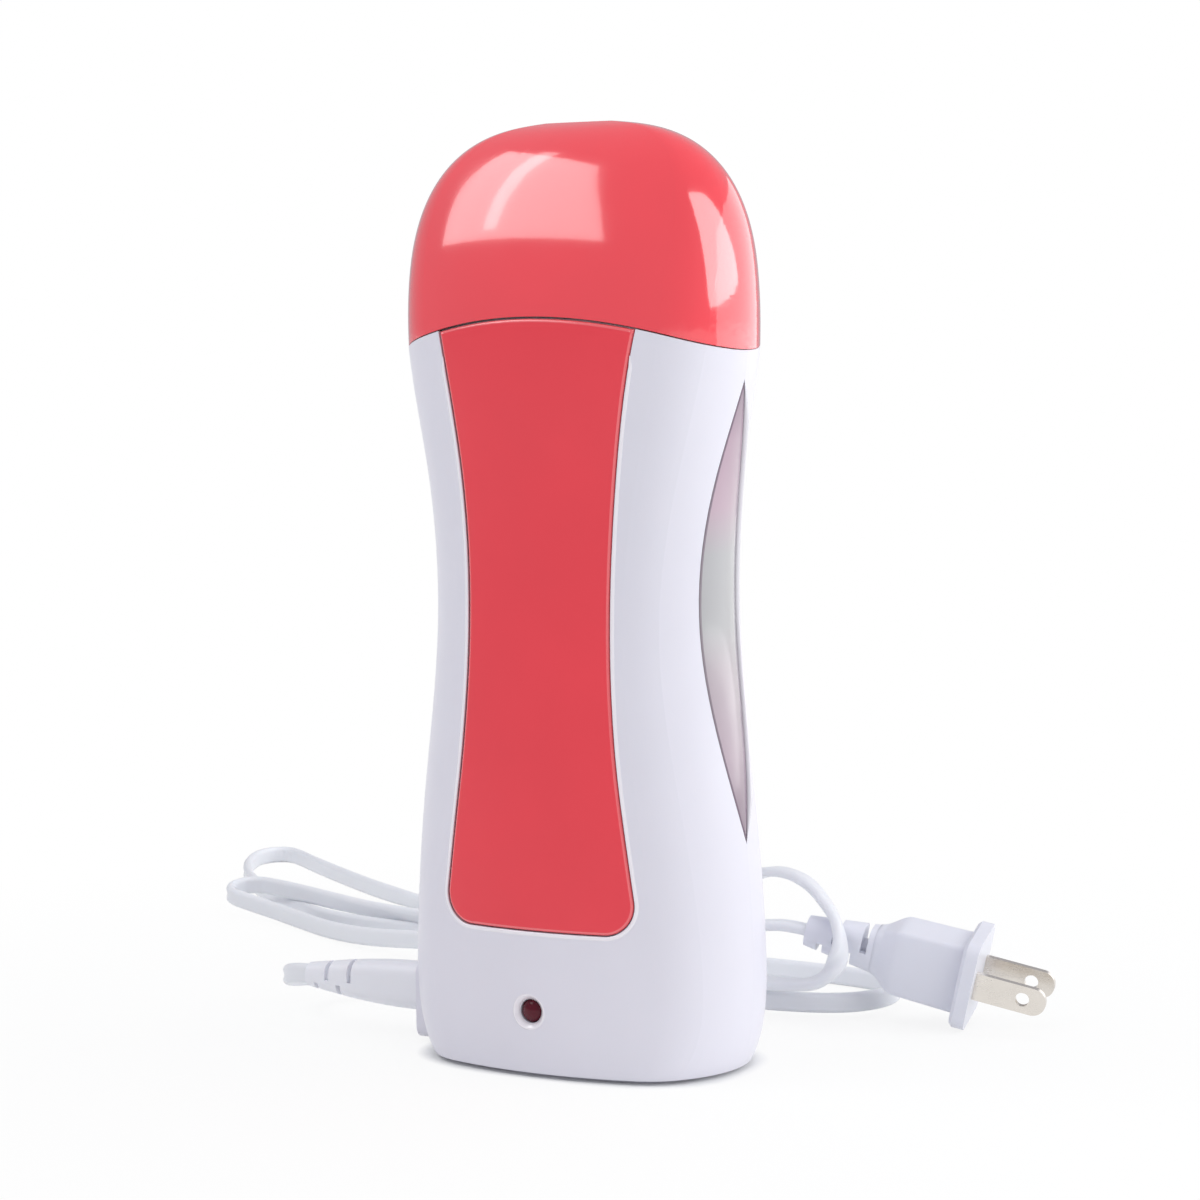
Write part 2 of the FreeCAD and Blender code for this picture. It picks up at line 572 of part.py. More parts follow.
def lens_prism(name, grow):
    """The side windows' outline carried right through the casing."""
    body = new_body(name)
    sketch = new_sketch(body, f"{name}_outline", "YZ_Plane")
    lens_outline(sketch, grow)
    pad(body, f"{name}_pad", sketch, "@hip_width + 2 * @margin", midplane=True)
    return body


def panel_prism(name, grow):
    body = new_body(name)
    profile = panel_outline(body, f"{name}_outline", grow)
    pad(body, f"{name}_pad", profile, "@hip_depth")
    return body


front_zone = half_zone("front_zone", False)
rear_zone = half_zone("rear_zone", True)
cap_floor = new_body("cap_floor")
cap_floor_profile = seam_profile(cap_floor, "cap_floor_outline", "0", "@seam_gap")
pad(cap_floor, "cap_floor_pad", cap_floor_profile, "@hip_depth + 2 * @margin", midplane=True)
window_hole = lens_prism("window_hole", "@window_gap")
window_plug = lens_prism("window_plug", "0")
window_flange = lens_prism("window_flange", "@flange_width")
panel_hole = panel_prism("panel_hole", "@panel_gap")
panel_fill = panel_prism("panel_fill", "0")

doc.recompute()


# ---------------------------------------------------------------- outer pieces
def slab(name, bottom, top):
    """A level slab wider than the casing, between two heights."""
    width = "(@hip_width + 2 * @margin)"
    depth = "(@hip_depth + 2 * @margin)"
    return box(name, width, depth, f"({top}) - ({bottom})", f"-{width} / 2", f"-{depth} / 2", bottom)


def oblong_prism(name, width, rise, corner, bottom, height, centre_x="0", centre_y="0"):
    """An upright bar of rounded-rectangle section."""
    body = new_body(name)
    sketch = new_sketch(body, f"{name}_outline", "XY_Plane", bottom)
    rounded_rectangle(sketch, width, rise, corner, centre_x, centre_y)
    pad(body, f"{name}_pad", sketch, height)
    return body


def end_section(body, name, width, rise, corner, place, centre_y="0"):
    """A rounded rectangle across the X direction: width along Y, rise along Z."""
    sketch = new_sketch(body, name, "YZ_Plane", place)
    rounded_rectangle(sketch, width, rise, corner, "0", centre_y)
    return sketch


# cap: a domed shell whose lower edge follows the seam
cap_outer = cap_envelope("cap_outer", "0")
cap_inner = cap_envelope("cap_inner", "@cap_wall")
cap_shell = cut("cap_shell", cap_outer, cap_inner)
cap = node(cut("cap", cap_shell, cap_floor), "cap")

# casing walls with the ledge that carries the shelf, the window openings and the inlet notch
walls = cut("walls", outer, inner)
ledge_slab = slab("ledge_slab", "@shelf_bottom - @ledge_thickness", "@shelf_bottom")
ledge_disc = common("ledge_disc", inner, ledge_slab)
ledge_bore = oblong_prism("ledge_bore", "@thigh_width - 2 * (@wall + @ledge_width)",
                          "@thigh_depth - 2 * (@wall + @ledge_width)", "@well_corner + @ledge_width",
                          "@shelf_bottom - 2 * @ledge_thickness", "@ledge_thickness * 3")
ledge = cut("ledge", ledge_disc, ledge_bore)
ribbed = fuse("ribbed", [walls, ledge])
windowed = cut("windowed", ribbed, window_hole)
inlet_notch = new_body("inlet_notch")
notch_sketch = end_section(inlet_notch, "inlet_notch_outline", "@inlet_width + 2 * @inlet_gap",
                           "@inlet_rise + 2 * @inlet_gap", "@inlet_corner + @inlet_gap",
                           "-@inlet_face - @margin", "@inlet_centre")
pad(inlet_notch, "inlet_notch_pad", notch_sketch, "@inlet_step + @wall + @margin")
casing = cut("casing", windowed, inlet_notch)

# screw bosses standing on the base, each tied to the wall behind it by a rib
BOSS_BOTTOM = "@base_thickness + @boss_gap"


def screw_bosses(side, sign):
    bosses = []
    for index, across in enumerate((-1, 1)):
        x = f"{across} * @screw_spacing / 2"
        y = f"{sign} * @screw_depth / 2"
        stem = cylinder(f"boss_{side}_{index}", "@boss_diameter", "@boss_height", x, y, BOSS_BOTTOM)
        reach = "(@foot_depth / 2 - @wall + @rib_sink - @screw_depth / 2)"
        rib_y = y if sign > 0 else f"{y} - {reach}"
        rib = box(f"boss_rib_{side}_{index}", "@rib", reach, "@boss_height",
                  f"{x} - @rib / 2", rib_y, BOSS_BOTTOM)
        bosses.append(stem)
        bosses.append(rib)
    return bosses


def screw_bores(side, sign):
    bores = []
    for index, across in enumerate((-1, 1)):
        x = f"{across} * @screw_spacing / 2"
        y = f"{sign} * @screw_depth / 2"
        bores.append(cylinder(f"bore_{side}_{index}", "@screw_diameter + 2 * @screw_play",
                              "@bore_length", x, y, "@base_thickness"))
    return fuse(f"bores_{side}", bores)


# where the front wall stands at the lamp's height
LAMP_FACE = ("(@foot_depth / 2 + (@hip_depth - @foot_depth) / 2"
             " * (@lamp_height - @foot_height) / (@hip_height - @foot_height))")

front_blank = common("front_blank", casing, front_zone)
recess_skin = cut("recess_skin", proud, panel_floor)
recess = common("recess", recess_skin, panel_hole)
front_recessed = cut("front_recessed", front_blank, recess)
front_bossed = fuse("front_bossed", [front_recessed] + screw_bosses("front", -1))
lamp_bore = cylinder("lamp_bore", "@lens_diameter + 2 * @panel_gap", "@wall + 2 * @margin",
                     "@lamp_offset", f"-{LAMP_FACE} - @margin", "@lamp_height", *ALONG_Y)
# the countersink's cone is carried on outwards by one wall at the same slope
SINK_MOUTH = "@lens_bezel + (@lens_bezel - @lens_diameter) * @wall / @bezel_depth"
lamp_sink = cone("lamp_sink", SINK_MOUTH, "@lens_diameter", "@bezel_depth + @wall",
                 "@lamp_offset", f"-{LAMP_FACE} - @wall", "@lamp_height", *ALONG_Y)
# a flat seat inside the wall, on which the lens bears with its rim
lamp_seat = cylinder("lamp_seat", "@lens_diameter + 2 * @lens_rim_width + 2 * @panel_gap", "@margin",
                     "@lamp_offset", f"-{LAMP_FACE} + @wall - @seat_sink", "@lamp_height", *ALONG_Y)
front_cutters = fuse("front_cutters", [lamp_bore, lamp_sink, lamp_seat, screw_bores("front", -1)])
front_shell = node(cut("front_shell", front_bossed, front_cutters), "front_shell")

rear_blank = common("rear_blank", casing, rear_zone)
rear_bossed = fuse("rear_bossed", [rear_blank] + screw_bosses("rear", 1))
rear_shell = node(cut("rear_shell", rear_bossed, screw_bores("rear", 1)), "rear_shell")

# coloured insert, flush with the wall
panel_skin = cut("panel_skin", outer, panel_back)
panel_full = common("panel_full", panel_skin, panel_fill)
front_panel = node(common("front_panel", panel_full, front_zone), "front_panel")

# windows: a flush lens with a wider flange behind the wall
lens_skin = cut("lens_skin", outer, flange_back)
flange_skin = cut("flange_skin", lining, flange_back)


def side_window(side, x):
    region = box(f"region_{side}", "@hip_width", "@hip_depth + 2 * @margin", TOTAL_HEIGHT,
                 x, "-@hip_depth / 2 - @margin", "0")
    lens = common(f"lens_{side}", lens_skin, window_plug)
    flange = common(f"flange_{side}", flange_skin, window_flange)
    whole = fuse(f"window_whole_{side}", [lens, flange])
    return node(common(f"window_{side}", whole, region), f"window_{side}")


side_window("right", "0")
side_window("left", "-@hip_width")

# neck ring under the cap, with the deck that the cartridge passes through
collar_slab = slab("collar_slab", COLLAR_BOTTOM, COLLAR_TOP)
cap_room = cap_envelope("cap_room", "@cap_wall + @fit")
collar_form = common("collar_form", lining, cap_room)
collar_block = common("collar_block", collar_form, collar_slab)
collar_core_slab = slab("collar_core_slab", f"{COLLAR_BOTTOM} - @margin", f"{COLLAR_TOP} - @deck_thickness")
collar_core = common("collar_core", collar_bore, collar_core_slab)
collar_ring = cut("collar_ring", collar_block, collar_core)
mouth = oblong_prism("mouth", "@well_width + @well_wall", "@well_depth + @well_wall",
                     "@well_corner + @well_wall / 2", COLLAR_BOTTOM, "@collar_sink + @collar_rise + @margin")
collar = node(cut("collar", collar_ring, mouth), "collar")

# ---------------------------------------------------------------- heating well
WELL_BASE = "(@well_floor - @well_floor_thickness)"
WELL_TOP = f"({COLLAR_TOP} - @deck_thickness)"
well = new_body("well")
well_sketch = new_sketch(well, "well_outline", "XY_Plane", WELL_BASE)
rounded_rectangle(well_sketch, "@well_width + 2 * @well_wall", "@well_depth + 2 * @well_wall",
                  "@well_corner + @well_wall")
pad(well, "well_pad", well_sketch, f"{WELL_TOP} - {WELL_BASE}")
bore_sketch = new_sketch(well, "well_bore", "XY_Plane", WELL_TOP)
rounded_rectangle(bore_sketch, "@well_width", "@well_depth", "@well_corner")
pocket(well, "well_pocket", bore_sketch, f"{WELL_TOP} - @well_floor")
slot_sketch = new_sketch(well, "well_slot", "YZ_Plane")
rounded_rectangle(slot_sketch, "@slot_width", f"{WINDOW_LENGTH} - 2 * @slot_inset",
                  "@slot_width / 2 - @hair", "0", WINDOW_HEIGHT)
pocket(well, "well_slots", slot_sketch, "@well_width + 2 * @margin", midplane=True)
node(well, "heating_well")

# shelf with the cradle that holds the foot of the well
SHELF_TOP = "(@shelf_bottom + @shelf_thickness)"
shelf_slab = slab("shelf_slab", "@shelf_bottom", SHELF_TOP)
shelf_plate = common("shelf_plate", lining, shelf_slab)
OUT_W = "(@well_width + 2 * @well_wall)"
OUT_D = "(@well_depth + 2 * @well_wall)"
OUT_C = "(@well_corner + @well_wall)"
cradle_block = oblong_prism("cradle_block", f"{OUT_W} + 2 * (@fit + @cradle_wall)",
                            f"{OUT_D} + 2 * (@fit + @cradle_wall)", f"{OUT_C} + @fit + @cradle_wall",
                            "@shelf_bottom", "@well_floor + @cradle_rise - @shelf_bottom")
cradle_room = oblong_prism("cradle_room", f"{OUT_W} - 2 * @cradle_wall", f"{OUT_D} - 2 * @cradle_wall",
                           f"{OUT_C} - @cradle_wall", SHELF_TOP, "@well_floor")
cradle_seat = oblong_prism("cradle_seat", f"{OUT_W} + 2 * @fit", f"{OUT_D} + 2 * @fit",
                           f"{OUT_C} + @fit", WELL_BASE, "@well_floor")
shelf_solid = fuse("shelf_solid", [shelf_plate, cradle_block])
shelf_cutters = [cradle_room, cradle_seat]
for index, across in enumerate((-1, 1)):
    shelf_cutters.append(cylinder(f"wire_hole_{index}", "@wire_hole", "@shelf_thickness * 3",
                                  "-@wire_hole_x", f"{across} * @wire_hole_y",
                                  "@shelf_bottom - @shelf_thickness"))
CLIP_SCREW_X = "(@clip_span / 2 + @clip_sheet + @clip_foot / 2)"
for index, across in enumerate((-1, 1)):
    shelf_cutters.append(cylinder(f"clip_hole_{index}", "@screw_diameter + 2 * @screw_play",
                                  "@shelf_thickness * 3", f"{across} * {CLIP_SCREW_X}", "0",
                                  "@shelf_bottom - @shelf_thickness"))
shelf_room = fuse("shelf_room", shelf_cutters)
node(cut("shelf", shelf_solid, shelf_room), "heater_shelf")

# heating element pressed against the floor of the well by a sprung clip
element = oblong_prism("element", "@heater_length", "@heater_width", "@heater_corner",
                       f"{WELL_BASE} - @heater_thickness", "@heater_thickness")
node(element, "heating_element")

CLIP_TOP = f"({WELL_BASE} - @heater_thickness)"
clip_pieces = [box("clip_bridge", "@clip_span + 2 * @clip_sheet", "@clip_width", "@clip_sheet",
                   "-@clip_span / 2 - @clip_sheet", "-@clip_width / 2", f"{CLIP_TOP} - @clip_sheet")]
for index, across in enumerate((-1, 1)):
    leg_x = "@clip_span / 2" if across > 0 else "-@clip_span / 2 - @clip_sheet"
    foot_x = "@clip_span / 2" if across > 0 else "-@clip_span / 2 - @clip_sheet - @clip_foot"
    clip_pieces.append(box(f"clip_leg_{index}", "@clip_sheet", "@clip_width",
                           f"{CLIP_TOP} - {SHELF_TOP}", leg_x, "-@clip_width / 2", SHELF_TOP))
    clip_pieces.append(box(f"clip_foot_{index}", "@clip_foot + @clip_sheet", "@clip_width",
                           "@clip_sheet", foot_x, "-@clip_width / 2", SHELF_TOP))
clip_solid = fuse("clip_solid", clip_pieces)
clip_holes = []
for index, across in enumerate((-1, 1)):
    clip_holes.append(cylinder(f"clip_bore_{index}", "@screw_diameter + 2 * @screw_play", "@clip_sheet * 3",
                               f"{across} * {CLIP_SCREW_X}", "0", f"{SHELF_TOP} - @clip_sheet"))
node(cut("clip", clip_solid, fuse("clip_bores", clip_holes)), "heater_clip")


def pan_screw(name, length, x, y, head_z, up):
    """A pan-head screw standing on its head's bearing face; its shank points up or down."""
    shank_z = head_z if up else f"{head_z} - ({length})"
    cap_z = f"{head_z} - @head_height" if up else head_z
    shank = cylinder(f"{name}_shank", "@screw_diameter", length, x, y, shank_z)
    head = cylinder(f"{name}_head", "@screw_head", "@head_height", x, y, cap_z)
    return fuse(name, [shank, head])


def group(name, pieces, label):
    compound = doc.addObject("Part::Compound", name)
    compound.Links = pieces
    return node(compound, label)


clip_screws = []
for index, across in enumerate((-1, 1)):
    clip_screws.append(pan_screw(f"clip_screw_{index}", "@shelf_thickness + 2 * @clip_sheet",
                                 f"{across} * {CLIP_SCREW_X}", "0", f"{SHELF_TOP} + @clip_sheet", False))
group("clip_screws", clip_screws, "clip_screws")

thermostat = oblong_prism("thermostat", "@thermostat_length", "@thermostat_width", "@thermostat_corner",
                          f"{WELL_BASE} - @thermostat_thickness", "@thermostat_thickness",
                          "0", "@heater_width / 2 + @fit + @thermostat_width / 2")
node(thermostat, "thermostat")
thermal_fuse = cylinder("thermal_fuse", "@fuse_diameter", "@fuse_length", "-@fuse_length / 2",
                        "-@fuse_place", f"{WELL_BASE} - @fuse_diameter / 2", *ALONG_X)
node(thermal_fuse, "thermal_fuse")

# ---------------------------------------------------------------- base, lamp and board
base_slab = slab("base_slab", "0", "@base_thickness")
base_blank = common("base_blank", lining, base_slab)
board_y = f"(-{LAMP_FACE} + @lens_length + @led_gap + @led_length)"
base_posts = []
for index, across in enumerate((-1, 1)):
    post_x = "@board_width / 2 - @board_post / 2" if across > 0 else "-@board_width / 2 - @board_post / 2"
    base_posts.append(box(f"board_post_{index}", "@board_post", "@board_thickness + 2 * @rib",
                          "@board_bottom + @board_height / 2", post_x, f"{board_y} - @rib", "0"))
base_solid = fuse("base_solid", [base_blank] + base_posts)
base_cutters = [box("board_slot", "@board_width + 2 * @panel_gap", "@board_thickness + @panel_gap",
                    "@board_height * 2", "-@board_width / 2 - @panel_gap",
                    f"{board_y} - @panel_gap / 2", "@board_bottom")]
base_screws = []
for index, (across, along) in enumerate(((-1, -1), (1, -1), (-1, 1), (1, 1))):
    x = f"{across} * @screw_spacing / 2"
    y = f"{along} * @screw_depth / 2"
    base_cutters.append(cylinder(f"base_bore_{index}", "@screw_diameter + 2 * @screw_play",
                                 "@base_thickness + 2 * @margin", x, y, "-@margin"))
    base_cutters.append(cylinder(f"base_sink_{index}", "@screw_head + 4 * @screw_play",
                                 "@head_height + @head_sink + @margin", x, y, "-@margin"))
    base_screws.append(pan_screw(f"base_screw_{index}", "@screw_length", x, y,
                                 "@head_height + @head_sink", True))
node(cut("base_plate", base_solid, fuse("base_cutters", base_cutters)), "base_plate")
group("base_screws", base_screws, "base_screws")

lens_rod = cylinder("lens_rod", "@lens_diameter", "@lens_length", "@lamp_offset",
                    f"-{LAMP_FACE}", "@lamp_height", *ALONG_Y)
lens_ball = doc.addObject("Part::Sphere", "lens_ball")
lens_ball.setExpression("Radius", S("@lens_radius"))
placed(lens_ball, "@lamp_offset", f"-{LAMP_FACE} + @lens_sink + @lens_radius", "@lamp_height")
lens_dome = common("lens_dome", lens_rod, lens_ball)
lens_collar = cylinder("lens_collar", "@lens_diameter + 2 * @lens_rim_width", "@lens_rim_thickness",
                       "@lamp_offset", f"-{LAMP_FACE} + @wall + @panel_gap", "@lamp_height", *ALONG_Y)
node(fuse("lamp_lens", [lens_dome, lens_collar]), "lamp_lens")

LED_TIP = f"(-{LAMP_FACE} + @lens_length + @led_gap)"
led_rod = cylinder("led_rod", "@led_diameter", "@led_length - @led_diameter / 2", "@lamp_offset",
                   f"{LED_TIP} + @led_diameter / 2", "@lamp_height", *ALONG_Y)
led_ball = doc.addObject("Part::Sphere", "led_ball")
led_ball.setExpression("Radius", S("@led_diameter / 2"))
placed(led_ball, "@lamp_offset", f"{LED_TIP} + @led_diameter / 2", "@lamp_height")
led_rim = cylinder("led_rim", "@led_diameter + 2 * @led_rim_width", "@led_rim_thickness",
                   "@lamp_offset", f"{board_y} - @led_rim_thickness", "@lamp_height", *ALONG_Y)
node(fuse("led", [led_rod, led_ball, led_rim]), "lamp_led")

board = box("board", "@board_width", "@board_thickness", "@board_height",
            "-@board_width / 2", board_y, "@board_bottom")
node(board, "lamp_board")
resistor = cylinder("resistor", "@resistor_diameter", "@resistor_length", "-@resistor_length / 2",
                    f"{board_y} + @board_thickness + @resistor_diameter / 2",
                    "@board_bottom + @resistor_rise", *ALONG_X)
node(resistor, "lamp_resistor")

# ---------------------------------------------------------------- mains inlet
PIN_FLOOR = "(@inlet_face - @nose_length - @nose_gap)"
inlet_solid = new_body("inlet_solid")
pad(inlet_solid, "inlet_front_pad",
    end_section(inlet_solid, "inlet_front", "@inlet_width", "@inlet_rise", "@inlet_corner",
                "-@inlet_face", "@inlet_centre"), "@inlet_step")
pad(inlet_solid, "inlet_rear_pad",
    end_section(inlet_solid, "inlet_rear", "@inlet_width", "@inlet_rise - @base_thickness", "@inlet_corner",
                "-@inlet_face + @inlet_step / 2", "@inlet_centre + @base_thickness / 2"),
    "@inlet_length - @inlet_step / 2")
pocket(inlet_solid, "inlet_cavity",
       end_section(inlet_solid, "inlet_mouth", "@nose_width + 2 * @fit", "@nose_rise + 2 * @fit",
                   "@nose_width / 2 + @fit - @hair", "-@inlet_face", "@inlet_height"),
       "@nose_length + @nose_gap", reverse=True)


def contacts(name, diameter, start, length):
    rods = []
    for index, side in enumerate((-1, 1)):
        rods.append(cylinder(f"{name}_{index}", diameter, length, start, "0",
                             f"@inlet_height + {side} * @contact_pitch / 2", *ALONG_X))
    return rods


pin_start = f"-{PIN_FLOOR} - @contact_length"
PIN_REACH = "@inlet_length - @nose_length - @nose_gap + @pin_tail"
pin_rods = contacts("pin", "@contact_diameter", pin_start, f"@contact_length + {PIN_REACH}")
pin_room = contacts("pin_room", "@contact_diameter", pin_start, "@contact_length + @inlet_length")
node(cut("inlet_socket", inlet_solid, fuse("pin_rooms", pin_room)), "inlet_socket")
group("inlet_pins", pin_rods, "inlet_pins")

# ---------------------------------------------------------------- lead: connector, cord, plug
OUTER_FACE = "(@inlet_face + @fit)"
connector = new_body("connector_solid")
grip_stations = (
    ("face", "@connector_width", "@connector_rise", "@connector_corner", OUTER_FACE),
    ("grip", "@grip_width", "@grip_rise", "@connector_corner", f"{OUTER_FACE} + @grip_place"),
    ("root", "@relief_width", "@relief_rise", "@relief_corner", f"{OUTER_FACE} + @connector_length"),
)
connector_sections = []
for label, width, rise, corner, place in grip_stations:
    connector_sections.append(end_section(connector, f"connector_{label}", width, rise, corner,
                                          f"-({place})", "@inlet_height"))
loft(connector, "connector_loft", connector_sections)
RELIEF_START = f"({OUTER_FACE} + @connector_length)"
relief_sections = [
    end_section(connector, "relief_root", "@relief_width", "@relief_rise", "@relief_corner",
                f"-{RELIEF_START}", "@inlet_height"),
    end_section(connector, "relief_tip", "@relief_end", "@relief_end", "@relief_tip_corner",
                f"-({RELIEF_START} + @relief_length)", "@inlet_height"),
]
loft(connector, "relief_loft", relief_sections)
pad(connector, "nose_pad",
    end_section(connector, "nose", "@nose_width", "@nose_rise", "@nose_width / 2 - @hair",
                f"-{OUTER_FACE} - @margin", "@inlet_height"), "@nose_length + @fit + @margin")
sockets = contacts("socket_bore", "@contact_diameter + 2 * @contact_play", f"{pin_start} - @socket_gap",
                   "@contact_length + @socket_gap + @margin")

SLIT_COUNT = 4


def slits(name, first, slit, pitch, width, core, z_centre):
    """Staggered slits in a bend relief, cut from below and above in turn round a solid core."""
    cutters = []
    for index in range(SLIT_COUNT):
        above = index % 2 == 1
        bottom = f"{z_centre} - @slit_reach" if above else f"{z_centre} - @slit_short - @margin"
        cutters.append(box(f"{name}_{index}", slit, f"{width} + 2 * @margin", "@margin",
                           f"{first} + {index} * {pitch}", f"-{width} / 2 - @margin", bottom))
    blades = fuse(f"{name}_cutters", cutters)
    return cut(f"{name}_slots", blades, core)


RELIEF_TIP = f"(-{RELIEF_START} - @relief_length)"
relief_core = cylinder("relief_core", "@relief_core_size", "@relief_length + @connector_length",
                       RELIEF_TIP, "0", "@inlet_height", *ALONG_X)
relief_slots = slits("relief", f"{RELIEF_TIP} + @relief_first", "@relief_slit", "@relief_pitch",
                     "@relief_width", relief_core, "@inlet_height")
connector_cutters = fuse("connector_cutters", sockets + [relief_slots])
node(cut("connector", connector, connector_cutters), "connector")


def tube_along(points, diameter):
    """A round tube along straight runs joined by tangent arcs; returns it with its radii."""
    route = [V(*point) for point in points]
    edges = []
    radii = []
    start = route[0]
    for before, corner, after in zip(route, route[1:], route[2:]):
        come = corner - before
        leave = after - corner
        turn = come.getAngle(leave)
        cut_back = 0.45 * min(come.Length, leave.Length)
        radii.append(cut_back / math.tan(turn / 2))
        come.normalize()
        leave.normalize()
        first = corner - come * cut_back
        last = corner + leave * cut_back
        bisector = leave - come
        bisector.normalize()
        centre = corner + bisector * math.hypot(cut_back, radii[-1])
        middle = centre - bisector * radii[-1]
        edges.append(Part.LineSegment(start, first).toShape())
        edges.append(Part.Arc(first, middle, last).toShape())
        start = last
    edges.append(Part.LineSegment(start, route[-1]).toShape())
    path = Part.Wire(edges)
    heading = route[1] - route[0]
    disc = Part.Wire(Part.Circle(route[0], heading, diameter / 2).toShape())
    shape = path.makePipeShell([disc], True, False)
    return shape, path.Length, radii


def tube_part(name, points, diameter, label):
    shape, length, radii = tube_along(points, diameter)
    section = math.pi * diameter ** 2 / 4
    print(label, "length", round(length, 1), "volume ratio", round(shape.Volume / (section * length), 4),
          "smallest radius", round(min(radii), 1))
    feature = doc.addObject("Part::Feature", name)
    feature.Shape = shape
    return node(feature, label), radii


cord, cord_radii = tube_part("cord", CORD_ROUTE, number("@cord_diameter"), "cord")
print("cord radii", " ".join(str(round(radius, 1)) for radius in cord_radii))

# plug, modelled along +X from the cord to the face of its flange, then laid on the floor
plug = new_body("plug_solid")
NECK_END = "@plug_neck_length"
BODY_END = "(@plug_neck_length + @plug_body_length)"
FACE = f"({BODY_END} + @plug_flange)"
neck_sections = [
    end_section(plug, "plug_tail", "@plug_tail_width", "@plug_tail_rise", "@plug_tail_corner", "0"),
    end_section(plug, "plug_neck", "@plug_neck_width", "@plug_neck_rise", "@plug_neck_corner", NECK_END),
]
loft(plug, "neck_loft", neck_sections)
body_sections = [
    end_section(plug, "plug_neck_top", "@plug_neck_width", "@plug_neck_rise", "@plug_neck_corner", NECK_END),
    end_section(plug, "plug_shoulder", "@plug_shoulder_width", "@plug_shoulder_rise",
                "@plug_shoulder_corner", f"{NECK_END} + @plug_shoulder"),
    end_section(plug, "plug_trunk", "@plug_body_width", "@plug_body_rise", "@plug_body_corner", BODY_END),
]
loft(plug, "body_loft", body_sections)
flange_sections = [
    end_section(plug, "flange_back", "@plug_width - 2 * @plug_bevel", "@plug_rise - 2 * @plug_bevel",
                "@plug_corner - @plug_bevel", BODY_END),
    end_section(plug, "flange_rim", "@plug_width", "@plug_rise", "@plug_corner",
                f"{BODY_END} + @plug_bevel"),
]
loft(plug, "flange_bevel", flange_sections)
pad(plug, "flange_pad",
    end_section(plug, "flange_face", "@plug_width", "@plug_rise", "@plug_corner",
                f"{BODY_END} + @plug_bevel"), "@plug_flange - @plug_bevel")

# the flat blades are held in the flange, which covers their ends
BLADE_ROOT = "(@plug_flange - @blade_cover)"
blade_bodies = []
for index, side in enumerate((-1, 1)):
    blade = new_body(f"blade_{index}")
    outline = new_sketch(blade, f"blade_outline_{index}", "XZ_Plane", f"{side} * @blade_pitch / 2")
    rounded_rectangle(outline, f"@blade_length + {BLADE_ROOT}", "@blade_width", "@blade_corner",
                      f"{FACE} + (@blade_length - {BLADE_ROOT}) / 2")
    pad(blade, f"blade_pad_{index}", outline, "@blade_thickness", midplane=True)
    eye = new_sketch(blade, f"blade_eye_{index}", "XZ_Plane", f"{side} * @blade_pitch / 2")
    eye.addGeometry(Part.Circle(V(number(f"{FACE} + @blade_hole_place"), 0, 0), V(0, 0, 1),
                                number("@blade_hole / 2")), False)
    bind(eye, "Radius", (0,), "radius", "@blade_hole / 2")
    bind(eye, "DistanceX", (*ORIGIN, 0, 3), "place", f"{FACE} + @blade_hole_place")
    eye.addConstraint(Sketcher.Constraint("PointOnObject", 0, 3, X_AXIS))
    pocket(blade, f"blade_eye_cut_{index}", eye, "@blade_thickness + 2 * @fit", midplane=True)
    blade_bodies.append(blade)

plug_core = cylinder("plug_core", "@plug_core_size", BODY_END, "0", "0", "0", *ALONG_X)
plug_slots = slits("plug_slit", "@plug_slit_first", "@plug_slit", "@plug_slit_pitch",
                   "@plug_neck_width", plug_core, "0")
plug_whole = cut("plug_whole", plug, fuse("plug_cutters", blade_bodies + [plug_slots]))
plug_node = node(plug_whole, "plug_body")
blades = group("plug_blades", blade_bodies, "plug_blades")
lie = FreeCAD.Rotation(number("@plug_yaw"), number("@plug_pitch"), number("@plug_roll"))
for piece in (plug_node, blades):
    piece.Placement = FreeCAD.Placement(V(*CORD_ROUTE[-1]), lie)

# ---------------------------------------------------------------- internal wiring
wire = number("@wire_diameter")
pin_end = -number(PIN_FLOOR) + number(PIN_REACH)
hole_x = -number("@wire_hole_x")
hole_y = number("@wire_hole_y")
under_z = number("@shelf_bottom - @wire_drop")
over_z = number("@shelf_bottom + @wire_climb")
live_z = number("@inlet_height + @contact_pitch / 2")
neutral_z = number("@inlet_height - @contact_pitch / 2")
half_stat = number("@thermostat_length / 2")
stat_y = number("@heater_width / 2 + @fit + @thermostat_width / 2")
stat_z = number(f"{WELL_BASE} - @thermostat_thickness / 2")
half_fuse = number("@fuse_length / 2")
fuse_y = number("@fuse_place")
fuse_z = number(f"{WELL_BASE} - @fuse_diameter / 2")
half_heater = number("@heater_length / 2")
heater_z = number(f"{WELL_BASE} - @heater_thickness / 2")
terminal_y = number("@terminal_offset")
turn = number("@wire_turn")
loop = number("@wire_loop")
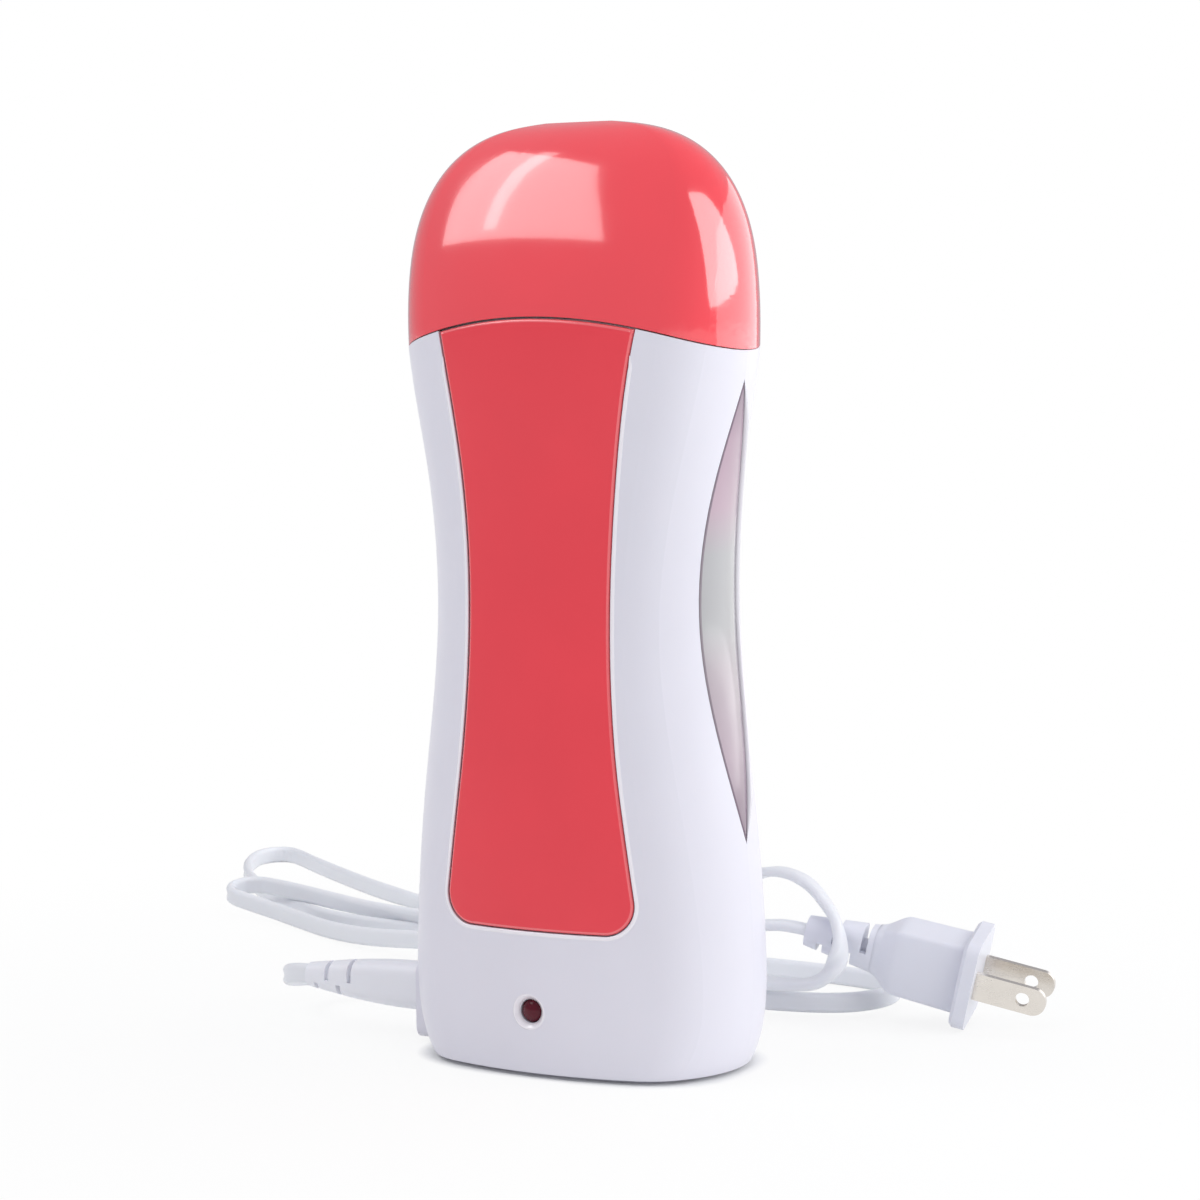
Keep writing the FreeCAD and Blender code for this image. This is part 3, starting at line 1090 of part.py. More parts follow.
WIRES = (
    ("wire_live", (
        (pin_end, 0, live_z),
        (pin_end + loop, 0, live_z),
        (pin_end + loop + turn, hole_y / 2, live_z + loop + turn),
        (hole_x, hole_y, under_z),
        (hole_x, hole_y, over_z),
        (-half_stat - loop, stat_y + wire / 3, (over_z + stat_z) / 2),
        (-half_stat - turn, stat_y, stat_z),
        (-half_stat, stat_y, stat_z),
    )),
    ("wire_neutral", (
        (pin_end, 0, neutral_z),
        (pin_end + loop + turn, 0, neutral_z),
        (pin_end + loop + turn, -hole_y / 2, neutral_z + loop + turn),
        (hole_x, -hole_y, under_z),
        (hole_x, -hole_y, over_z),
        (-half_fuse - loop - wire, -fuse_y - wire / 3, (over_z + fuse_z) / 2),
        (-half_fuse - turn, -fuse_y, fuse_z),
        (-half_fuse, -fuse_y, fuse_z),
    )),
    ("wire_thermostat", (
        (half_stat, stat_y, stat_z),
        (half_stat + loop, stat_y, stat_z),
        (half_heater + turn, stat_y - wire / 2, heater_z),
        (half_heater + loop, stat_y / 2, heater_z),
        (half_heater + turn, terminal_y, heater_z),
        (half_heater, terminal_y, heater_z),
    )),
    ("wire_fuse", (
        (half_fuse, -fuse_y, fuse_z),
        (half_fuse + loop, -fuse_y, fuse_z),
        (half_heater + turn, -fuse_y + wire / 2, heater_z),
        (half_heater + loop, -fuse_y / 2, heater_z),
        (half_heater + turn, -terminal_y, heater_z),
        (half_heater, -terminal_y, heater_z),
    )),
)
for label, route in WIRES:
    tube_part(label, route, wire, label)

# ---------------------------------------------------------------- check and write
doc.recompute()
for thing in doc.Objects:
    if "Invalid" in thing.State or "Error" in thing.State:
        raise RuntimeError(f"{thing.Name}: {thing.State} {thing.getStatusString()}")
for feature in NODES:
    shape = feature.Shape
    if shape.isNull() or not shape.isValid():
        raise RuntimeError(f"{feature.Label} has no valid shape")
    shape.exportStep(f"parts/{feature.Label}.step")
    extent = shape.BoundBox
    print(f"{feature.Label:16s} solids {len(shape.Solids)} volume {shape.Volume:10.1f}",
          f"x {extent.XMin:.1f}..{extent.XMax:.1f} y {extent.YMin:.1f}..{extent.YMax:.1f}",
          f"z {extent.ZMin:.1f}..{extent.ZMax:.1f}")
print(len(NODES), "nodes")
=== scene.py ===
import math
import json

import bmesh
import bpy
from mathutils import Matrix, Vector
from mathutils.bvhtree import BVHTree
from mathutils.geometry import delaunay_2d_cdt


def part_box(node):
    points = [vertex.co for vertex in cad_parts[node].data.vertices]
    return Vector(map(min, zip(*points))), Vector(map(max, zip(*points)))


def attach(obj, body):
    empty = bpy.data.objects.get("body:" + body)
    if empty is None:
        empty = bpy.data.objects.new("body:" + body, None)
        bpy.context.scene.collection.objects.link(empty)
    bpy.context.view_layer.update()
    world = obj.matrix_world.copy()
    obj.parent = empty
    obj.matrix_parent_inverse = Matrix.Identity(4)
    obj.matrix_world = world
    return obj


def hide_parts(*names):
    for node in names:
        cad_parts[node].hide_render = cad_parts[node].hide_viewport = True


# The looks of a hand-held heater for roll-on wax cartridges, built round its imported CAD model.
# Metres.  The coloured insert faces -Y, +Z is up, and the lead plugs into the -X side.
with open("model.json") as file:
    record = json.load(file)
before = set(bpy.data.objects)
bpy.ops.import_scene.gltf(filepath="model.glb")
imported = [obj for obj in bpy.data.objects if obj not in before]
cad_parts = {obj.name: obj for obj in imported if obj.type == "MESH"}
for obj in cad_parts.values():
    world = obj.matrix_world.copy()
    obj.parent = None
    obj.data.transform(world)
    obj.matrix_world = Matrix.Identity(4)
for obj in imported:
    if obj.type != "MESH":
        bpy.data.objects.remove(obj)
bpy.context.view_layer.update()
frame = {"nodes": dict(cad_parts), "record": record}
nodes = frame["nodes"]
MM = 0.001


def link(thing):
    bpy.context.scene.collection.objects.link(thing)
    return thing


# ---------------------------------------------------------------- camera
# the photo's camera: its yaw from looking along +Y, its pitch and its roll are in degrees
CAMERA_PLACE = (0.34395, -0.61379, 0.16272)
CAMERA_TURN = (29.016, -5.034, -0.730)
CAMERA_LENS = 97.214
SENSOR_WIDTH = 36.0
CLIP_START = 0.01
CLIP_END = 60.0


def place_camera():
    data = bpy.data.cameras.new("camera")
    data.sensor_width = SENSOR_WIDTH
    data.lens = CAMERA_LENS
    data.clip_start = CLIP_START
    data.clip_end = CLIP_END
    camera = link(bpy.data.objects.new("camera", data))
    yaw, pitch, roll = (math.radians(angle) for angle in CAMERA_TURN)
    turn = Matrix.Rotation(yaw, 4, "Z")
    turn @= Matrix.Rotation(math.radians(90) + pitch, 4, "X")
    turn @= Matrix.Rotation(roll, 4, "Z")
    camera.matrix_world = Matrix.Translation(CAMERA_PLACE) @ turn
    bpy.context.scene.camera = camera


# ---------------------------------------------------------------- shader nodes
def add(tree, kind, **values):
    """A node with its input sockets and properties set by name."""
    made = tree.nodes.new(kind)
    for key, value in values.items():
        if key in made.inputs:
            made.inputs[key].default_value = value
        else:
            setattr(made, key, value)
    return made


def noise(tree, scale, detail=3.0, roughness=0.5, stretch=(1, 1, 1)):
    """Noise in object space, in features per metre."""
    place = add(tree, "ShaderNodeTexCoord")
    mapping = add(tree, "ShaderNodeMapping", Scale=stretch)
    made = add(tree, "ShaderNodeTexNoise", Scale=scale, Detail=detail, Roughness=roughness)
    tree.links.new(place.outputs["Object"], mapping.inputs["Vector"])
    tree.links.new(mapping.outputs["Vector"], made.inputs["Vector"])
    return made.outputs["Fac"]


def spread(tree, value, low, high, start=0.3, end=0.7):
    """Map a value that runs from start to end onto a range; the bounds suit a noise."""
    made = add(tree, "ShaderNodeMapRange")
    made.inputs["From Min"].default_value = start
    made.inputs["From Max"].default_value = end
    made.inputs["To Min"].default_value = low
    made.inputs["To Max"].default_value = high
    tree.links.new(value, made.inputs["Value"])
    return made.outputs["Result"]


def combine(tree, operation, *values):
    """A maths node on sockets and plain numbers."""
    made = add(tree, "ShaderNodeMath", operation=operation)
    for socket, value in zip(made.inputs, values):
        if isinstance(value, bpy.types.NodeSocket):
            tree.links.new(value, socket)
        else:
            socket.default_value = value
    return made.outputs[0]


def bump(tree, height, strength, distance, under=None):
    """The normal of a bump, laid over another bump's normal where one is given."""
    made = add(tree, "ShaderNodeBump", Strength=strength, Distance=distance)
    tree.links.new(height, made.inputs["Height"])
    if under is not None:
        tree.links.new(under, made.inputs["Normal"])
    return made.outputs["Normal"]


def mix_shaders(tree, share, first, second, output):
    """Blend two shaders by a share into an output's surface."""
    mix = tree.nodes.new("ShaderNodeMixShader")
    tree.links.new(share, mix.inputs["Fac"])
    tree.links.new(first.outputs[0], mix.inputs[1])
    tree.links.new(second.outputs[0], mix.inputs[2])
    tree.links.new(mix.outputs[0], output.inputs["Surface"])


# ---------------------------------------------------------------- materials
# the patterns' features per metre
SHADE_SCALE = 38.0
SMEAR_SCALE = 120.0
WAVE_SCALE = 75.0
TARNISH_SCALE = 60.0
MARK_SCALE = 900.0
HAZE_SCALE = 160.0
RIPPLE_SCALE = 90.0

# the heights of their bumps, and the strengths that all metals and all clear plastics share
GRAIN_HEIGHT = 0.15 * MM
WAVE_HEIGHT = 0.4 * MM
MARK_HEIGHT = 0.05 * MM
RIPPLE_HEIGHT = 0.2 * MM
MARK_STRENGTH = 0.12
RIPPLE_STRENGTH = 0.05

# the lowest and highest shares of a roughness or a shade that a pattern reaches
SMEARED = (0.86, 1.14)
MARKED = (0.75, 1.3)
HAZED = (0.7, 1.3)
TARNISHED = (0.93, 1.05)

# how far light scatters inside the plastics, for red, green and blue
SCATTER_REACH = 1.2 * MM
SCATTER_SHARES = (1.0, 0.8, 0.7)
ACRYLIC_IOR = 1.49

PLASTICS = {
    "cap_coral": dict(colour=(0.98, 0.045, 0.067), roughness=0.12, grain=1800, depth=0.01, mottle=0.02,
                      sheen=0.95, coat=1.0, coat_roughness=0.05, waves=0.02, scatter=0.05),
    "panel_coral": dict(colour=(0.88, 0.060, 0.083), roughness=0.36, grain=3400, depth=0.06, mottle=0.025,
                        sheen=0.4, scatter=0.03),
    # the insert's rounded edge: a lighter coral than its face, a painted highlight, and glossier as well
    "panel_edge_painted_highlight": dict(colour=(0.95, 0.13, 0.15), roughness=0.22, grain=3400, depth=0.03, mottle=0.02,
                       sheen=0.8, coat=0.6),
    # the lip round the insert and the lamp's countersink: a lighter white than the shell, a painted
    # highlight, and glossier as well
    "shell_edge_painted_highlight": dict(colour=(0.93, 0.90, 0.95), roughness=0.2, grain=3200, depth=0.02, mottle=0.01,
                       sheen=0.7, coat=0.5),
    "shell_white": dict(colour=(0.80, 0.79, 0.865), roughness=0.34, grain=3200, depth=0.04, mottle=0.012,
                        sheen=0.45, waves=0.02, scatter=0.05),
    "inner_plastic": dict(colour=(0.72, 0.72, 0.74), roughness=0.42),
    "window_guard": dict(colour=(0.74, 0.72, 0.77), roughness=0.16, depth=0.01, mottle=0.02, sheen=0.8,
                         coat=1.0, coat_roughness=0.04),
    "heat_resistant_plastic": dict(colour=(0.66, 0.62, 0.54), roughness=0.6, grain=1500, depth=0.1),
    "sensor_plastic": dict(colour=(0.03, 0.03, 0.035), roughness=0.5),
    "lamp_red": dict(colour=(0.10, 0.005, 0.016), roughness=0.1, grain=1500, depth=0.004, sheen=0.22,
                     coat=0.12, coat_roughness=0.03),
    "circuit_board": dict(colour=(0.02, 0.16, 0.06), roughness=0.35, grain=5000, depth=0.1, mottle=0.06),
    "resistor_body": dict(colour=(0.5, 0.36, 0.2), roughness=0.3),
    "wire_brown": dict(colour=(0.12, 0.04, 0.015), roughness=0.45),
    "wire_blue": dict(colour=(0.03, 0.09, 0.34), roughness=0.45),
    "lead_white": dict(colour=(0.80, 0.81, 0.885), roughness=0.36, grain=2400, depth=0.05, mottle=0.015,
                       sheen=0.45, scatter=0.08),
    "connector_white": dict(colour=(0.88, 0.885, 0.935), roughness=0.36, grain=2400, depth=0.05,
                            mottle=0.015, sheen=0.45, scatter=0.08),
    "cord_white": dict(colour=(0.84, 0.855, 0.895), roughness=0.42, grain=1600, depth=0.015, mottle=0.012,
                       sheen=0.35, scatter=0.08),
}
METALS = {
    "well_aluminium": dict(colour=(0.78, 0.78, 0.79), roughness=0.32, stretch=(1, 1, 0.08)),
    "element_case": dict(colour=(0.66, 0.66, 0.66), roughness=0.4, stretch=(0.1, 1, 1)),
    "spring_steel": dict(colour=(0.55, 0.54, 0.52), roughness=0.3, stretch=(0.1, 1, 1)),
    "screw_steel": dict(colour=(0.58, 0.58, 0.6), roughness=0.28),
    "fuse_case": dict(colour=(0.7, 0.68, 0.62), roughness=0.35),
    "contact_brass": dict(colour=(0.8, 0.58, 0.28), roughness=0.25),
    "blade_nickel": dict(colour=(0.79, 0.745, 0.69), roughness=0.24, stretch=(0.12, 1, 1)),
}

# the windows' colours, each from a share of their rise, which paint their shade: grey in the middle,
# pink-lilac above and below it, dark purple at both tips
FACE_PAINTED_SHADES = (
    (0.0, (0.26, 0.17, 0.24)), (0.08, (0.40, 0.29, 0.37)), (0.2, (0.53, 0.40, 0.48)),
    (0.38, (0.55, 0.47, 0.52)), (0.47, (0.57, 0.57, 0.585)), (0.62, (0.60, 0.60, 0.62)),
    (0.72, (0.70, 0.52, 0.62)), (0.86, (0.64, 0.45, 0.56)), (0.95, (0.42, 0.30, 0.39)),
    (1.0, (0.26, 0.17, 0.24)),
)
# the windows' rounded edges: darker than their faces, painted shade along the outlines, darkest at the tips
EDGE_PAINTED_SHADES = ((0.0, (0.22, 0.14, 0.21)), (0.5, (0.38, 0.33, 0.37)), (1.0, (0.22, 0.14, 0.21)))
CLEARS = {
    "window_clear": dict(painted_shades=FACE_PAINTED_SHADES, roughness=0.2, transmission=0.3, coat=1.0),
    "window_edge_painted_shade": dict(painted_shades=EDGE_PAINTED_SHADES, roughness=0.12, transmission=0.2, coat=0.6),
}


def new_material(name):
    material = bpy.data.materials.new(name)
    material.use_nodes = True
    tree = material.node_tree
    tree.nodes.clear()
    output = tree.nodes.new("ShaderNodeOutputMaterial")
    shader = tree.nodes.new("ShaderNodeBsdfPrincipled")
    tree.links.new(shader.outputs["BSDF"], output.inputs["Surface"])
    return material, tree, shader


def shade(tree, shader, colour, pattern, low, high):
    """Base colour between two shares of a colour, by a pattern."""
    ramp = add(tree, "ShaderNodeMix", data_type="RGBA")
    ramp.inputs["A"].default_value = (*[channel * low for channel in colour], 1)
    ramp.inputs["B"].default_value = (*[min(1.0, channel * high) for channel in colour], 1)
    tree.links.new(spread(tree, pattern, 0.0, 1.0), ramp.inputs["Factor"])
    tree.links.new(ramp.outputs["Result"], shader.inputs["Base Color"])


def roughen(tree, shader, roughness, pattern, low, high):
    """Roughness between two shares of a value, by a pattern."""
    tree.links.new(spread(tree, pattern, roughness * low, roughness * high), shader.inputs["Roughness"])


def plastic(name, colour, roughness, grain=2600.0, depth=0.02, mottle=0.03, sheen=0.5, coat=0.0,
            coat_roughness=0.1, waves=0.0, scatter=0.0):
    """Moulded plastic: a fine spark-eroded grain, slow ripples, and slight changes of shade."""
    material, tree, shader = new_material(name)
    shader.inputs["Specular IOR Level"].default_value = sheen
    shader.inputs["Coat Weight"].default_value = coat
    shader.inputs["Coat Roughness"].default_value = coat_roughness
    shader.inputs["Subsurface Weight"].default_value = scatter
    shader.inputs["Subsurface Radius"].default_value = SCATTER_SHARES
    shader.inputs["Subsurface Scale"].default_value = SCATTER_REACH
    shade(tree, shader, colour, noise(tree, SHADE_SCALE, 2.0), 1 - mottle, 1 + mottle)
    roughen(tree, shader, roughness, noise(tree, SMEAR_SCALE, 4.0, 0.6), *SMEARED)
    under = None
    if waves:
        under = bump(tree, noise(tree, WAVE_SCALE, 1.0), waves, WAVE_HEIGHT)
    normal = bump(tree, noise(tree, grain, 4.0, 0.6), depth, GRAIN_HEIGHT, under)
    tree.links.new(normal, shader.inputs["Normal"])
    return material


def metal(name, colour, roughness, stretch=(1, 1, 1)):
    """Plated or drawn metal with fine marks, drawn out along the axis whose stretch is small."""
    material, tree, shader = new_material(name)
    shader.inputs["Metallic"].default_value = 1.0
    shade(tree, shader, colour, noise(tree, TARNISH_SCALE), *TARNISHED)
    marks = noise(tree, MARK_SCALE, 3.0, 0.6, stretch)
    roughen(tree, shader, roughness, marks, *MARKED)
    tree.links.new(bump(tree, marks, MARK_STRENGTH, MARK_HEIGHT), shader.inputs["Normal"])
    return material


def clear_plastic(name, painted_shades, roughness, transmission, coat):
    """Moulded clear plastic with a faint haze, with painted shade that changes its colour along the windows'
    rise.
    """
    material, tree, shader = new_material(name)
    shader.inputs["Transmission Weight"].default_value = transmission
    shader.inputs["IOR"].default_value = ACRYLIC_IOR
    shader.inputs["Coat Weight"].default_value = coat
    shader.inputs["Coat Roughness"].default_value = 0.05
    low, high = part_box("window_right")
    place = add(tree, "ShaderNodeTexCoord")
    parts = add(tree, "ShaderNodeSeparateXYZ")
    tree.links.new(place.outputs["Object"], parts.inputs["Vector"])
    # the ramp of painted shade, from the foot to the top of the window
    ramp = add(tree, "ShaderNodeValToRGB")
    bands = ramp.color_ramp.elements
    while len(bands) < len(painted_shades):
        bands.new(0.5)
    for band, (share, colour) in zip(bands, painted_shades):
        band.position = share
        band.color = (*colour, 1)
    tree.links.new(spread(tree, parts.outputs["Z"], 0.0, 1.0, low[2], high[2]), ramp.inputs["Fac"])
    tree.links.new(ramp.outputs["Color"], shader.inputs["Base Color"])
    roughen(tree, shader, roughness, noise(tree, HAZE_SCALE), *HAZED)
    ripples = bump(tree, noise(tree, RIPPLE_SCALE, 2.0), RIPPLE_STRENGTH, RIPPLE_HEIGHT)
    tree.links.new(ripples, shader.inputs["Normal"])
    return material


def make_materials():
    made = {name: plastic(name, **look) for name, look in PLASTICS.items()}
    made.update({name: metal(name, **look) for name, look in METALS.items()})
    made.update({name: clear_plastic(name, **look) for name, look in CLEARS.items()})
    return made


def dress_nodes(materials):
    """Give every carried-over CAD node its detailed material; the connector is a lighter white."""
    slots = {entry["node"]: entry["material_slot"] for entry in frame["record"]["subparts"]}
    slots["connector"] = "connector_white"
    for name, thing in nodes.items():
        thing.data.materials.clear()
        thing.data.materials.append(materials[slots[name]])


# ---------------------------------------------------------------- meshes
def mesh_object(name, vertices, faces, material=None, smooth=True):
    mesh = bpy.data.meshes.new(name)
    mesh.from_pydata([tuple(vertex) for vertex in vertices], [], faces)
    mesh.validate()
    mesh.update()
    if smooth:
        mesh.polygons.foreach_set("use_smooth", [True] * len(mesh.polygons))
    thing = link(bpy.data.objects.new(name, mesh))
    if material is not None:
        mesh.materials.append(material)
    return thing


def strips(rows, count, round_row=True, round_rows=False):
    """Faces between rows of points that follow one another, each row and the rows closed or open."""
    faces = []
    for row in range(rows if round_rows else rows - 1):
        base = row * count
        onward = (row + 1) % rows * count
        for step in range(count if round_row else count - 1):
            after = (step + 1) % count
            faces.append((base + step, base + after, onward + after, onward + step))
    return faces


def caps(rows, count):
    """The faces that close a tube of rows at its two ends."""
    last = (rows - 1) * count
    return [tuple(range(count)), tuple(last + step for step in reversed(range(count)))]


def outward(piece):
    """Turn all faces of a closed piece outward."""
    form = bmesh.new()
    form.from_mesh(piece.data)
    bmesh.ops.recalc_face_normals(form, faces=form.faces)
    form.to_mesh(piece.data)
    form.free()


def nurbs_path(name, points, resolution=10):
    """The points that a smooth open NURBS spline follows, with those points as its controls."""
    curve = bpy.data.curves.new(name, "CURVE")
    curve.dimensions = "3D"
    curve.resolution_u = resolution
    spline = curve.splines.new("NURBS")
    spline.points.add(len(points) - 1)
    for place, point in zip(spline.points, points):
        place.co = (*point, 1.0)
    spline.order_u = 3
    spline.use_endpoint_u = True
    thing = link(bpy.data.objects.new(name, curve))
    bpy.context.view_layer.update()
    graph = bpy.context.evaluated_depsgraph_get()
    mesh = bpy.data.meshes.new_from_object(thing.evaluated_get(graph))
    path = [vertex.co.copy() for vertex in mesh.vertices]
    bpy.data.objects.remove(thing)
    bpy.data.meshes.remove(mesh)
    return path


# ---------------------------------------------------------------- the outline of a flush piece
# points closer than this are one
WELD = 1e-6
# a face belongs to the flush side above the first share of its normal, and to the rim below the second
LOOKS_OUT = 0.45
LOOKS_ASIDE = 0.2
# an outline has more points than this; the turn that makes a corner, and the sharpest mitre there
STRAY_POINTS = 20
CORNER_TURN = math.radians(25)
SHARPEST = 0.35
# the step between points of an outline
RIM_STEP = 0.7 * MM


def face_surface(node, facing):
    """The outline of a node's side that looks along a direction, and that side's own surface."""
    form = bmesh.new()
    form.from_mesh(nodes[node].data)
    bmesh.ops.remove_doubles(form, verts=form.verts, dist=WELD)
    form.normal_update()
    form.verts.index_update()
    ahead = {}
    for edge in form.edges:
        looks = sorted(face.normal.dot(facing) for face in edge.link_faces)
        if len(looks) == 2 and looks[1] > LOOKS_OUT and looks[0] < LOOKS_ASIDE:
            one, two = edge.verts
            ahead.setdefault(one, []).append(two)
            ahead.setdefault(two, []).append(one)
    loops = []
    unused = set(ahead)
    while unused:
        # the lowest number, so that every run starts each outline at the same point
        start = min(unused, key=lambda vertex: vertex.index)
        unused.discard(start)
        loop = [start]
        step = ahead[start][0]
        while step is not start and step in unused:
            unused.discard(step)
            loop.append(step)
            step = next((other for other in ahead[step] if other in unused), start)
        loops.append([vertex.co.copy() for vertex in loop])
    loops = [loop for loop in loops if len(loop) > STRAY_POINTS]
    outline = max(loops, key=lambda loop: sum(point.dot(facing) for point in loop) / len(loop))
    faces = [face for face in form.faces if face.normal.dot(facing) > LOOKS_OUT]
    surface = BVHTree.FromPolygons([vertex.co.copy() for vertex in form.verts],
                                   [[vertex.index for vertex in face.verts] for face in faces])
    form.free()
    return outline, surface


def resampled(loop, spacing):
    """A closed loop with even steps between its corners, which stay."""
    count = len(loop)

    def turn(index):
        before = loop[index] - loop[index - 1]
        after = loop[(index + 1) % count] - loop[index]
        return before.angle(after, 0.0)

    corners = [index for index in range(count) if turn(index) > CORNER_TURN] or [0]
    made = []
    for place, first in enumerate(corners):
        last = corners[(place + 1) % len(corners)]
        span = (last - first) % count or count
        stretch = [loop[(first + step) % count] for step in range(span + 1)]
        lengths = [0.0]
        for one, two in zip(stretch, stretch[1:]):
            lengths.append(lengths[-1] + (two - one).length)
        steps = max(2, round(lengths[-1] / spacing))
        at = 0
        for step in range(steps):
            want = lengths[-1] * step / steps
            while lengths[at + 1] < want:
                at += 1
            share = (want - lengths[at]) / (lengths[at + 1] - lengths[at])
            made.append(stretch[at].lerp(stretch[at + 1], share))
    return made


class Rim:
    """The outline of a flush piece, with the way inward and the way out of the face at each point."""

    def __init__(self, node, facing, top_room=0.0):
        self.facing = Vector(facing)
        self.across = Vector((0, 0, 1)).cross(self.facing)
        self.top_room = top_room
        outline, self.surface = face_surface(node, self.facing)
        self.loop = resampled(outline, RIM_STEP)
        count = len(self.loop)
        self.middle = sum(self.loop, Vector()) / count
        self.normals = [self.surface.find_nearest(point)[1] for point in self.loop]
        self.inward = []
        for index, point in enumerate(self.loop):
            beside = self.normals[index - 1] + self.normals[(index + 1) % count]
            normal = (self.normals[index] + beside).normalized()
            before = normal.cross(point - self.loop[index - 1]).normalized()
            after = normal.cross(self.loop[(index + 1) % count] - point).normalized()
            mitre = (before + after).normalized()
            self.inward.append(mitre / max(SHARPEST, mitre.dot(before)))
        if sum((self.middle - point).dot(step) for point, step in zip(self.loop, self.inward)) < 0:
            self.inward = [-step for step in self.inward]

    def ring(self, inset, depth, size=lambda point: 1.0):
        """The outline moved inward along the face and down into it, by shares that size gives.

        Its top edge is moved inward by the top's own room as well.
        """
        made = []
        for point, step, normal in zip(self.loop, self.inward, self.normals):
            room = self.top_room * max(0.0, -step.z) ** 2
            share = size(point)
            place = point + step * (inset * share + room)
            if inset > 0:
                place = self.surface.find_nearest(place)[0]
            made.append(place - normal * depth * share)
        return made

    def flat(self, point):
        return Vector((point.dot(self.across), point.z))

    def lifted(self, place, depth):
        """The point of the face, or under it, that a flat place stands for."""
        start = self.across * place.x + Vector((0, 0, place.y)) + self.facing
        hit, normal, _, _ = self.surface.ray_cast(start, -self.facing)
        if hit is None:
            start += self.facing * (self.middle.dot(self.facing) - 1)
            hit, normal, _, _ = self.surface.find_nearest(start)
        return hit - normal * depth


# ---------------------------------------------------------------- flush insert and windows
# rounded edges, and the thickness of the pieces that carry them, as in the CAD model
PANEL_EDGE = 0.7 * MM
PANEL_THICKNESS = 1.3 * MM
WINDOW_EDGE = 0.6 * MM
WINDOW_GAP = 0.15 * MM
SHELL_WALL = 2.6 * MM
FLANGE_WIDTH = 2.0 * MM
FLANGE_THICKNESS = 1.2 * MM
# how far the insert's top edge stays below the seam
SEAM_ROOM = 0.15 * MM
# the steps of a rounded edge, the grid of points inside a face, how many of its steps it keeps clear of
# the outline, and the distance below which two points of a face are one
EDGE_STEPS = 5
FACE_GRID = 2.2 * MM
GRID_ROOM = 0.6
FILL_SLACK = 1e-9
# sections in millimetres of (outward, down): the lip round the insert, and the rib behind a window
LIP_SECTION = ((0.22, 0.45), (0.24, 0.02), (0.42, -0.12), (0.75, -0.12), (1.05, 0.0), (1.25, 0.2))
GUARD_SECTION = ((-0.45, 0.3), (-0.4, -0.3), (-0.15, -0.7), (0.3, -0.85), (0.8, -0.75), (1.2, -0.35),
                 (1.35, 0.4))
# how far below the seam the lip stops, and over how far it and the ribs die out
LIP_STOP = 7.5 * MM
LIP_FADE = 3.0 * MM


def grid_inside(ring, spacing):
    """The places of an even grid that lie in a flat ring's box, clear of the ring's points."""
    low = [min(point[axis] for point in ring) for axis in (0, 1)]
    high = [max(point[axis] for point in ring) for axis in (0, 1)]
    made = []
    for column in range(1, int((high[0] - low[0]) / spacing) + 1):
        for row in range(1, int((high[1] - low[1]) / spacing) + 1):
            place = Vector((low[0] + column * spacing, low[1] + row * spacing))
            if min((place - point).length for point in ring) > GRID_ROOM * spacing:
                made.append(place)
    return made


def inlay(name, node, rim, section, materials, radius):
    """A flush piece with a rounded edge, drawn from the outline and the face of its CAD node.

    section lists the rim behind its rounded edge as (inset, depth) pairs, from the back forward.
    """
    rings = list(section)
    for step in range(EDGE_STEPS + 1):
        angle = math.radians(90) * step / EDGE_STEPS
        rings.append((radius * (1 - math.cos(angle)), radius * (1 - math.sin(angle))))
    count = len(rim.loop)
    vertices = [point for inset, depth in rings for point in rim.ring(inset, depth)]
    faces = strips(len(rings), count)
    rim_faces = len(faces)
    for base, depth, order in ((len(vertices) - count, 0.0, 1), (0, section[0][1], -1)):
        ring = [rim.flat(vertex) for vertex in vertices[base:base + count]]
        edges = [(step, (step + 1) % count) for step in range(count)]
        flat_points = ring + grid_inside(ring, FACE_GRID)
        points, _, triangles, _, _, _ = delaunay_2d_cdt(flat_points, edges, [], 1, FILL_SLACK)
        offset = len(vertices)
        vertices.extend(rim.lifted(point, depth) for point in points[count:])
        for triangle in triangles:
            places = [base + corner if corner < count else offset + corner - count for corner in triangle]
            faces.append(tuple(places[::order]))
    piece = mesh_object(name, vertices, faces)
    outward(piece)
    # the rim's material paints light on the rounded edge: a highlight on the insert, shade on the windows
    face_material, rim_painted_light_material = materials
    piece.data.materials.append(face_material)
    piece.data.materials.append(rim_painted_light_material)
    for face in piece.data.polygons[:rim_faces]:
        face.material_index = 1
    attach(piece, "heater")
    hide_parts(node)
    return piece


def fading(distance):
    """The size of a lip at a distance from its end."""
    return min(1.0, max(0.0, distance / LIP_FADE))


def edge_bead(name, rim, size, section, material):
    """A rounded lip beside the outline, on the stretch of it where size is above nought."""
    rows = [rim.ring(-outside * MM, depth * MM, size) for outside, depth in section]
    count = len(rim.loop)
    kept = [index for index in range(count) if size(rim.loop[index]) > 0]
    gap = max(range(len(kept)), key=lambda place: (kept[place] - kept[place - 1]) % count)
    kept = kept[gap:] + kept[:gap]
    vertices = [row[index] for row in rows for index in kept]
    faces = strips(len(rows), len(kept), round_row=False, round_rows=True)
    ends = [tuple(row * len(kept) + place for row in range(len(rows))) for place in (0, len(kept) - 1)]
    piece = mesh_object(name, vertices, faces + ends, material)
    outward(piece)
    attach(piece, "heater")


def build_insert(materials):
    rim = Rim("front_panel", (0, -1, 0), SEAM_ROOM)
    insert = inlay("front_insert", "front_panel", rim, [(0, PANEL_THICKNESS)],
                   (materials["panel_coral"], materials["panel_edge_painted_highlight"]), PANEL_EDGE)
    seam = max(point.z for point in rim.loop)
    # the lip round the insert takes the lighter white of a painted highlight
    edge_bead("recess_lip", rim, lambda point: fading(seam - LIP_STOP - point.z), LIP_SECTION,
              materials["shell_edge_painted_highlight"])


